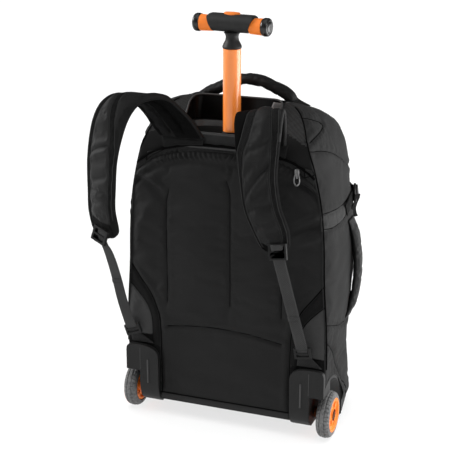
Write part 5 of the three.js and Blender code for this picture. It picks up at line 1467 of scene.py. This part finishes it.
# ------------------------------------------------------------------ handle tray
def make_tray():
    rounded("handle_well", "tray", PLASTIC_TRAY, "bag", 1.6)
    # painted highlight: lighter tubes along the tray's top rim and the front edge of its floor
    rim = Body()
    side = [(-107.2, 497.5), (-98.5, 514.2), (-84, 528.4), (-72, 541.4), (-61, 552.4), (-52, 558.2), (-45, 561.6)]
    left = [(-79.2, y, z) for y, z in side[:5]] + [(-78.4, -54.0, 556.9), (-75.6, -47.2, 560.6), (-70.4, -42.2, 562.4), (-63.4, -39.6, 563.0)]
    rear = [(x, -38.9, 563.1) for x in np.linspace(-55, 55, 12)]
    path = np.array(left + rear + [(-x, y, z) for x, y, z in left[::-1]], float)
    path = smooth_line(path, 220)
    rim.tube(path, 1.6, 10)
    x = np.linspace(-77.6, 77.6, 90)
    rim.tube(np.stack([x, np.full(90, -98.4), np.full(90, 513.4)], 1), 0.9, 8)
    rim.piece("tray_rim", [PLASTIC_HIGHLIGHT], slot="plastic")
    # pale front wall of the tray, and the low step along its left and rear, both in a lighter copy of the tray's
    # plastic: painted highlight on these faces
    wall = Body()
    v, u = np.meshgrid(np.linspace(0, 1, 8), np.linspace(-1, 1, 60), indexing="ij")
    yy, zz = np.interp(v, [0, 0.35, 1], [-109.7, -106.9, -98.8]), np.interp(v, [0, 0.35, 1], [489.6, 498.0, 513.2])
    P = np.stack([77.4 * u, yy - 0.5, zz], -1)
    wall.shell(P, P + np.array([0, 1.2, 0]))
    wall.piece("tray_front", [PLASTIC_LIP_HIGHLIGHT], slot="plastic")
    ledge = Body()
    line = smooth_line([(-77.0, -92), (-76.4, -72), (-72, -58), (-62, -49.6), (-48, -46.4), (-30, -45.4), (30, -45.4), (77.0, -45.4)], 80)
    low = smooth_line([(-71, -92), (-69.4, -73), (-65, -62), (-56, -55), (-45, -52.4), (-30, -51.6), (30, -51.6), (77.0, -51.6)], 80)
    wallside = np.stack([np.where(line[:, 0] < -60, -77.3, line[:, 0]), np.where(line[:, 0] < -60, line[:, 1], -40.6)], 1)
    at = lambda q, h: np.stack([q[:, 0], q[:, 1], np.full(80, h)], 1)
    P = np.stack([at(wallside, 521.6), at(line, 521.6), at(line + 0.12 * (low - line), 521.0), at(low, 513.3)])
    ledge.shell(P, P - np.array([0, 0, 0.5]))
    ledge.piece("tray_step", [PLASTIC_LIP_HIGHLIGHT], slot="plastic", sharp=30)
    # painted reflection: a pale plate on the tray's rear right corner stands for the bright reflection on its rounded
    # inside corner
    pale = Body()
    patch_plate(pale, [(53.5, 545.4), (77.6, 545.4), (77.6, 557.4), (59.4, 558.6)], -40.2, 1.2)
    pale.piece("tray_corner_right_reflection", [PLASTIC_REFLECTION], slot="plastic")
    for sign, name, material, tall in ((-1.0, "left", PLASTIC_TRAY, 46),):
        corner = Body()
        a = np.linspace(0, np.pi / 2, 14)
        rows = []
        for t in np.linspace(0, 1, 12):
            r = 18 - 6 * t
            x = 77.9 - r + r * np.sin(a)
            y = -40.0 - r + r * np.cos(a)
            top = np.interp(y, [-61, -52, -45, -40], [550.6, 556.6, 560.2, 561.6])
            rows.append(np.stack([sign * x, y, top - 0.8 - tall * t], 1))
        P = np.array(rows)
        corner.shell(P, P + np.array([sign * 1.0, 1.0, 0.0]))
        corner.piece(f"tray_corner_{name}", [material], slot="plastic", sharp=40)


make_tray()


# ------------------------------------------------------------------ pole and T handle
def make_pole():
    c = (POLE[0], POLE[1], 0)
    b = Body()
    b.lathe([(13.0, 203), (14.2, 203), (14.6, 203.5), (14.6, 400), (14.6, 647.4), (14.1, 648), (13.0, 648), (13.0, 400), (13.0, 203)], "z", c, 72)
    b.piece("pole_shaft", [ORANGE_TUBE], body="pole", nodes="pole_tube", slot="orange_tube", sharp=35)
    rows = [(0, 648.3), (14.6, 648.3), (15.4, 648.9), (15.6, 651.3)]
    r = hermite([651.3, 656, 661, 667, 671.5, 673.9], [(15.6,), (13.6,), (11.1,), (10.4,), (11.8,), (14.0,)], np.linspace(651.3, 673.4, 30))[:, 0]
    rows += list(zip(r, np.linspace(651.3, 673.4, 30))) + [(0, 673.4)]
    b = Body()
    b.lathe(rows, "z", c, 64)
    b.piece("neck", [GRIP_RUBBER], body="pole", nodes="handle_neck", slot="grip_rubber", sharp=50)
    rounded("handle_grip", "grip", GRIP_RUBBER, "pole", 1.8, segments=4, angle=24)
    rounded("handle_button", "release_button", ORANGE, "button", 1.6, segments=4, angle=40)
    at = (0, POLE[1], 685.5)
    for sign, side in ((1, "right"), (-1, "left")):
        b = Body()
        b.lathe([(r, sign * x) for r, x in ((0, 33.5), (12.5, 33.5), (12.55, 36), (12.9, 44), (13.3, 53), (13.3, 54), (0, 54))], "x", at, 64)
        b.turn_z(-6, *POLE)
        b.piece(f"sleeve_{side}", [ORANGE], body="pole", nodes=f"grip_sleeve_{side}", slot="orange_plastic", sharp=40)
        b = Body()
        rows = [(0, 54.4), (12.6, 54.4), (13.4, 54.7), (14.1, 55.8), (14.6, 57.4), (14.6, 61.5), (14.3, 63), (13.6, 64.3), (12.2, 65.4), (10.9, 65.7), (10.4, 65.2), (9.8, 65.2), (9.2, 66.0), (4, 66.5), (0, 66.5)]
        b.lathe([(r, sign * x) for r, x in rows], "x", at, 64)
        b.turn_z(-6, *POLE)
        b.piece(f"cap_{side}", [CAP_RUBBER], body="pole", nodes=f"grip_cap_{side}", slot="grip_rubber", sharp=50)


make_pole()


# ------------------------------------------------------------------ wheels
def make_wheels():
    for sign, side in ((1, "right"), (-1, "left")):
        centre = (0, WHEEL[0], WHEEL[1])
        n = 180
        a = np.linspace(0, 2 * np.pi, n, endpoint=False)[None]
        # tyre: round section with a shallow groove on each side and light cuts across it
        turn = np.linspace(0, np.pi, 60)
        prof = [(29.5 + 10.5 * math.sin(q) ** 0.72, 175.4 - 11.6 * math.copysign(abs(math.cos(q)) ** 0.86, math.cos(q))) for q in turn]
        rows = np.array(prof + [(29.5, 180), (29.5, 172), prof[0]], float)
        x = np.repeat(rows[:, 1:], n, 1)
        r = np.repeat(rows[:, :1], n, 1)
        groove = 1.3 * (bell(np.abs(x - 175.4) - 3.6, 0.8)) * (r > 36)
        cuts = 1.4 * (np.sin(a * 34 + np.where(x > 175.4, 0.0, np.pi)) > 0.75) * (r > 36.6) * (np.abs(x - 175.4) > 3.0)
        r = r - groove - cuts
        x = sign * x
        P = np.stack([x, centre[1] + r * np.cos(a), centre[2] + r * np.sin(a)], -1)
        b = Body()
        b.grid(P, wrap=True)
        b.piece(f"tread_{side}", [TYRE], body=f"wheel_{side}", nodes=f"tyre_{side}", slot="tyre", sharp=50)
        # hub: rim, dished face with five pockets, boss round the axle
        face = [(5.4, 184.6), (9.8, 184.6), (10.2, 184.9), (10.6, 186.2), (12.2, 186.2), (12.8, 185.0)] + [(rr, 185.0) for rr in np.linspace(13, 23.2, 16)] + [(23.8, 185.4), (24.3, 186.8), (24.8, 187.2), (28.4, 187.2), (29.3, 186.6), (29.5, 185)]
        rear = [(29, 167), (28.4, 165), (27.5, 164), (24.8, 164), (24.3, 164.6), (23.8, 167.4)] + [(rr, 168.0) for rr in np.linspace(23.2, 11, 16)] + [(10.2, 167.6), (9.8, 164.2), (5.4, 164), (5.4, 185)]
        rows = np.array(face + rear, float)
        x = np.repeat(rows[:, 1:], n, 1)
        r = np.repeat(rows[:, :1], n, 1)
        wave = 0.5 + 0.5 * np.cos(5 * a)
        pocket = step(0.30, 0.55, wave) * step(12.6, 14.4, r) * step(22.9, 21.2, r)
        x = x - 6.0 * pocket * (np.abs(x - 185) < 0.3) * (r > 12.9) + 4.0 * pocket * (np.abs(x - 168) < 0.5)
        P = np.stack([sign * x, centre[1] + r * np.cos(a), centre[2] + r * np.sin(a)], -1)
        b = Body()
        # painted shade: the innermost rows round the bore take the dark brown copy of the hub's orange
        shade = np.zeros((P.shape[0] - 1, n), int)
        shade[:3] = 1
        b.grid(P, wrap=True, mat=shade)
        b.piece(f"hub_disc_{side}", [ORANGE_DEEP, HUB_BORE_SHADE], body=f"wheel_{side}", nodes=f"hub_{side}", slot="orange_plastic", sharp=40)


make_wheels()


# ------------------------------------------------------------------ underside
def make_base():
    n = 60
    right = outline(np.full(n, 36.0), np.linspace(0, 1, n))
    loop = np.concatenate([right, (right * np.array([-1.0, 1, 1]))[::-1][1:]])
    b = Body()
    # rows across the bag from back to front, with the corners left for the housings
    y = np.linspace(-108.5, 105, 70)
    half = np.interp(y, right[:, 1], right[:, 0])
    half = np.where(y < -13.0, 117.4, half)
    half = np.where(y > right[-1, 1] - 0.5, 1.0, half)
    u = np.linspace(-1, 1, 70)[None]
    x = half[:, None] * u
    z = 33.6 + 0.5 * ripples(x, y[:, None] + 0 * x, 40, 140, 61) * (1 - u ** 8)
    P = np.stack([x, y[:, None] + 0 * x, z], -1)
    b.shell(P, P + np.array([0, 0, 2.0]))
    ob = b.piece("base_cloth", [CLOTH_BACK], nodes="bottom_panel", slot="cloth_back", sharp=50)
    declare_sheet(ob, 0.36, 0.22)
    rounded("front_foot", "foot", PLASTIC, "bag", 2.0)


make_base()

# the axle ends take the same dark brown, painted shade in the bore over the axle's own dark colour
for node, material in (("pole_guide", PLASTIC_TRAY), ("axle_left", HUB_BORE_SHADE), ("axle_right", HUB_BORE_SHADE)):
    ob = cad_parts[node]
    ob.data.materials.clear()
    ob.data.materials.append(material)


# ------------------------------------------------------------------ floor, light and camera
def make_stage():
    me = bpy.data.meshes.new("floor")
    me.from_pydata([(-20, -20, 0), (20, -20, 0), (20, 20, 0), (-20, 20, 0)], [], [(0, 1, 2, 3)])
    m = Nodes("floor")
    wide = m.noise(2.0, 3)
    m.colour(wide, (0.86, 0.86, 0.86), (0.90, 0.90, 0.90))
    m.roughness(wide, 0.75, 0.85)
    m.set(Specular_IOR_Level=0.2)
    me.materials.append(m.mat)
    floor = bpy.data.objects.new("floor", me)
    bpy.context.scene.collection.objects.link(floor)

    world = bpy.data.worlds.new("studio")
    bpy.context.scene.world = world
    world.use_nodes = True
    bg = world.node_tree.nodes["Background"]
    bg.inputs[0].default_value = (1, 1, 1, 1)
    bg.inputs[1].default_value = 0.15

    def turned(data, name, place, toward):
        ob = bpy.data.objects.new(name, data)
        bpy.context.scene.collection.objects.link(ob)
        place, back = np.array(place, float), unit(np.array(toward, float))
        side = unit(np.cross((0, 0, 1.0), back))
        up = np.cross(back, side)
        ob.matrix_world = Matrix([[side[0], up[0], back[0], place[0]], [side[1], up[1], back[1], place[1]], [side[2], up[2], back[2], place[2]], [0, 0, 0, 1]])

    def soft_sun(name, toward, strength, spread):
        data = bpy.data.lights.new(name, "SUN")
        data.energy, data.angle = strength, math.radians(spread)
        turned(data, name, (0, 0, 4), toward)

    soft_sun("left", (-0.90, -0.14, 0.42), 3.2, 30)
    soft_sun("right", (0.90, -0.26, 0.52), 0.9, 30)
    soft_sun("top", (0.05, -0.12, 1.0), 1.0, 70)
    soft_sun("wash", (0.0, 0.0, 1.0), 2.7, 40)
    # low upright soft box at the right, which draws the bright band on the pole
    data = bpy.data.lights.new("strip", "AREA")
    data.shape, data.size, data.size_y, data.energy = "RECTANGLE", 1.1, 0.62, 6.2 * math.pi * 0.68
    turned(data, "strip", (1.05, 0.42, 0.32), (1.0, 0.42, 0.0))
    bpy.data.objects["strip"].visible_camera = False
    # the side lights model the bag alone; the floor has its own even wash, so that it stays pale round the bag
    bag_only, floor_only = bpy.data.collections.new("bag_only"), bpy.data.collections.new("floor_only")
    bag_only.objects.link(floor)
    bag_only.collection_objects[0].light_linking.link_state = "EXCLUDE"
    floor_only.objects.link(floor)
    for name in ("left", "right", "strip"):
        bpy.data.objects[name].light_linking.receiver_collection = bag_only
    wash = bpy.data.objects["wash"].light_linking
    wash.receiver_collection = wash.blocker_collection = floor_only

    az, el = math.radians(20.742), math.radians(18.208)
    right = np.array([math.cos(az), math.sin(az), 0])
    back = np.array([math.sin(az) * math.cos(el), -math.cos(az) * math.cos(el), math.sin(el)])
    up = np.cross(back, right)
    place = (np.array([-40.07, 0, 325.675]) + back * 2145.561 + SHIFT) * 0.001
    cam = bpy.data.cameras.new("camera")
    cam.sensor_width, cam.sensor_fit = 36.0, "HORIZONTAL"
    cam.lens = 1240.403 * 36 / 450
    cam.clip_end = 100
    ob = bpy.data.objects.new("camera", cam)
    bpy.context.scene.collection.objects.link(ob)
    ob.matrix_world = Matrix([[right[0], up[0], back[0], place[0]], [right[1], up[1], back[1], place[1]], [right[2], up[2], back[2], place[2]], [0, 0, 0, 1]])
    bpy.context.scene.camera = ob
    bpy.context.scene.view_settings.view_transform = "Standard"


make_stage()

bpy.context.view_layer.update()
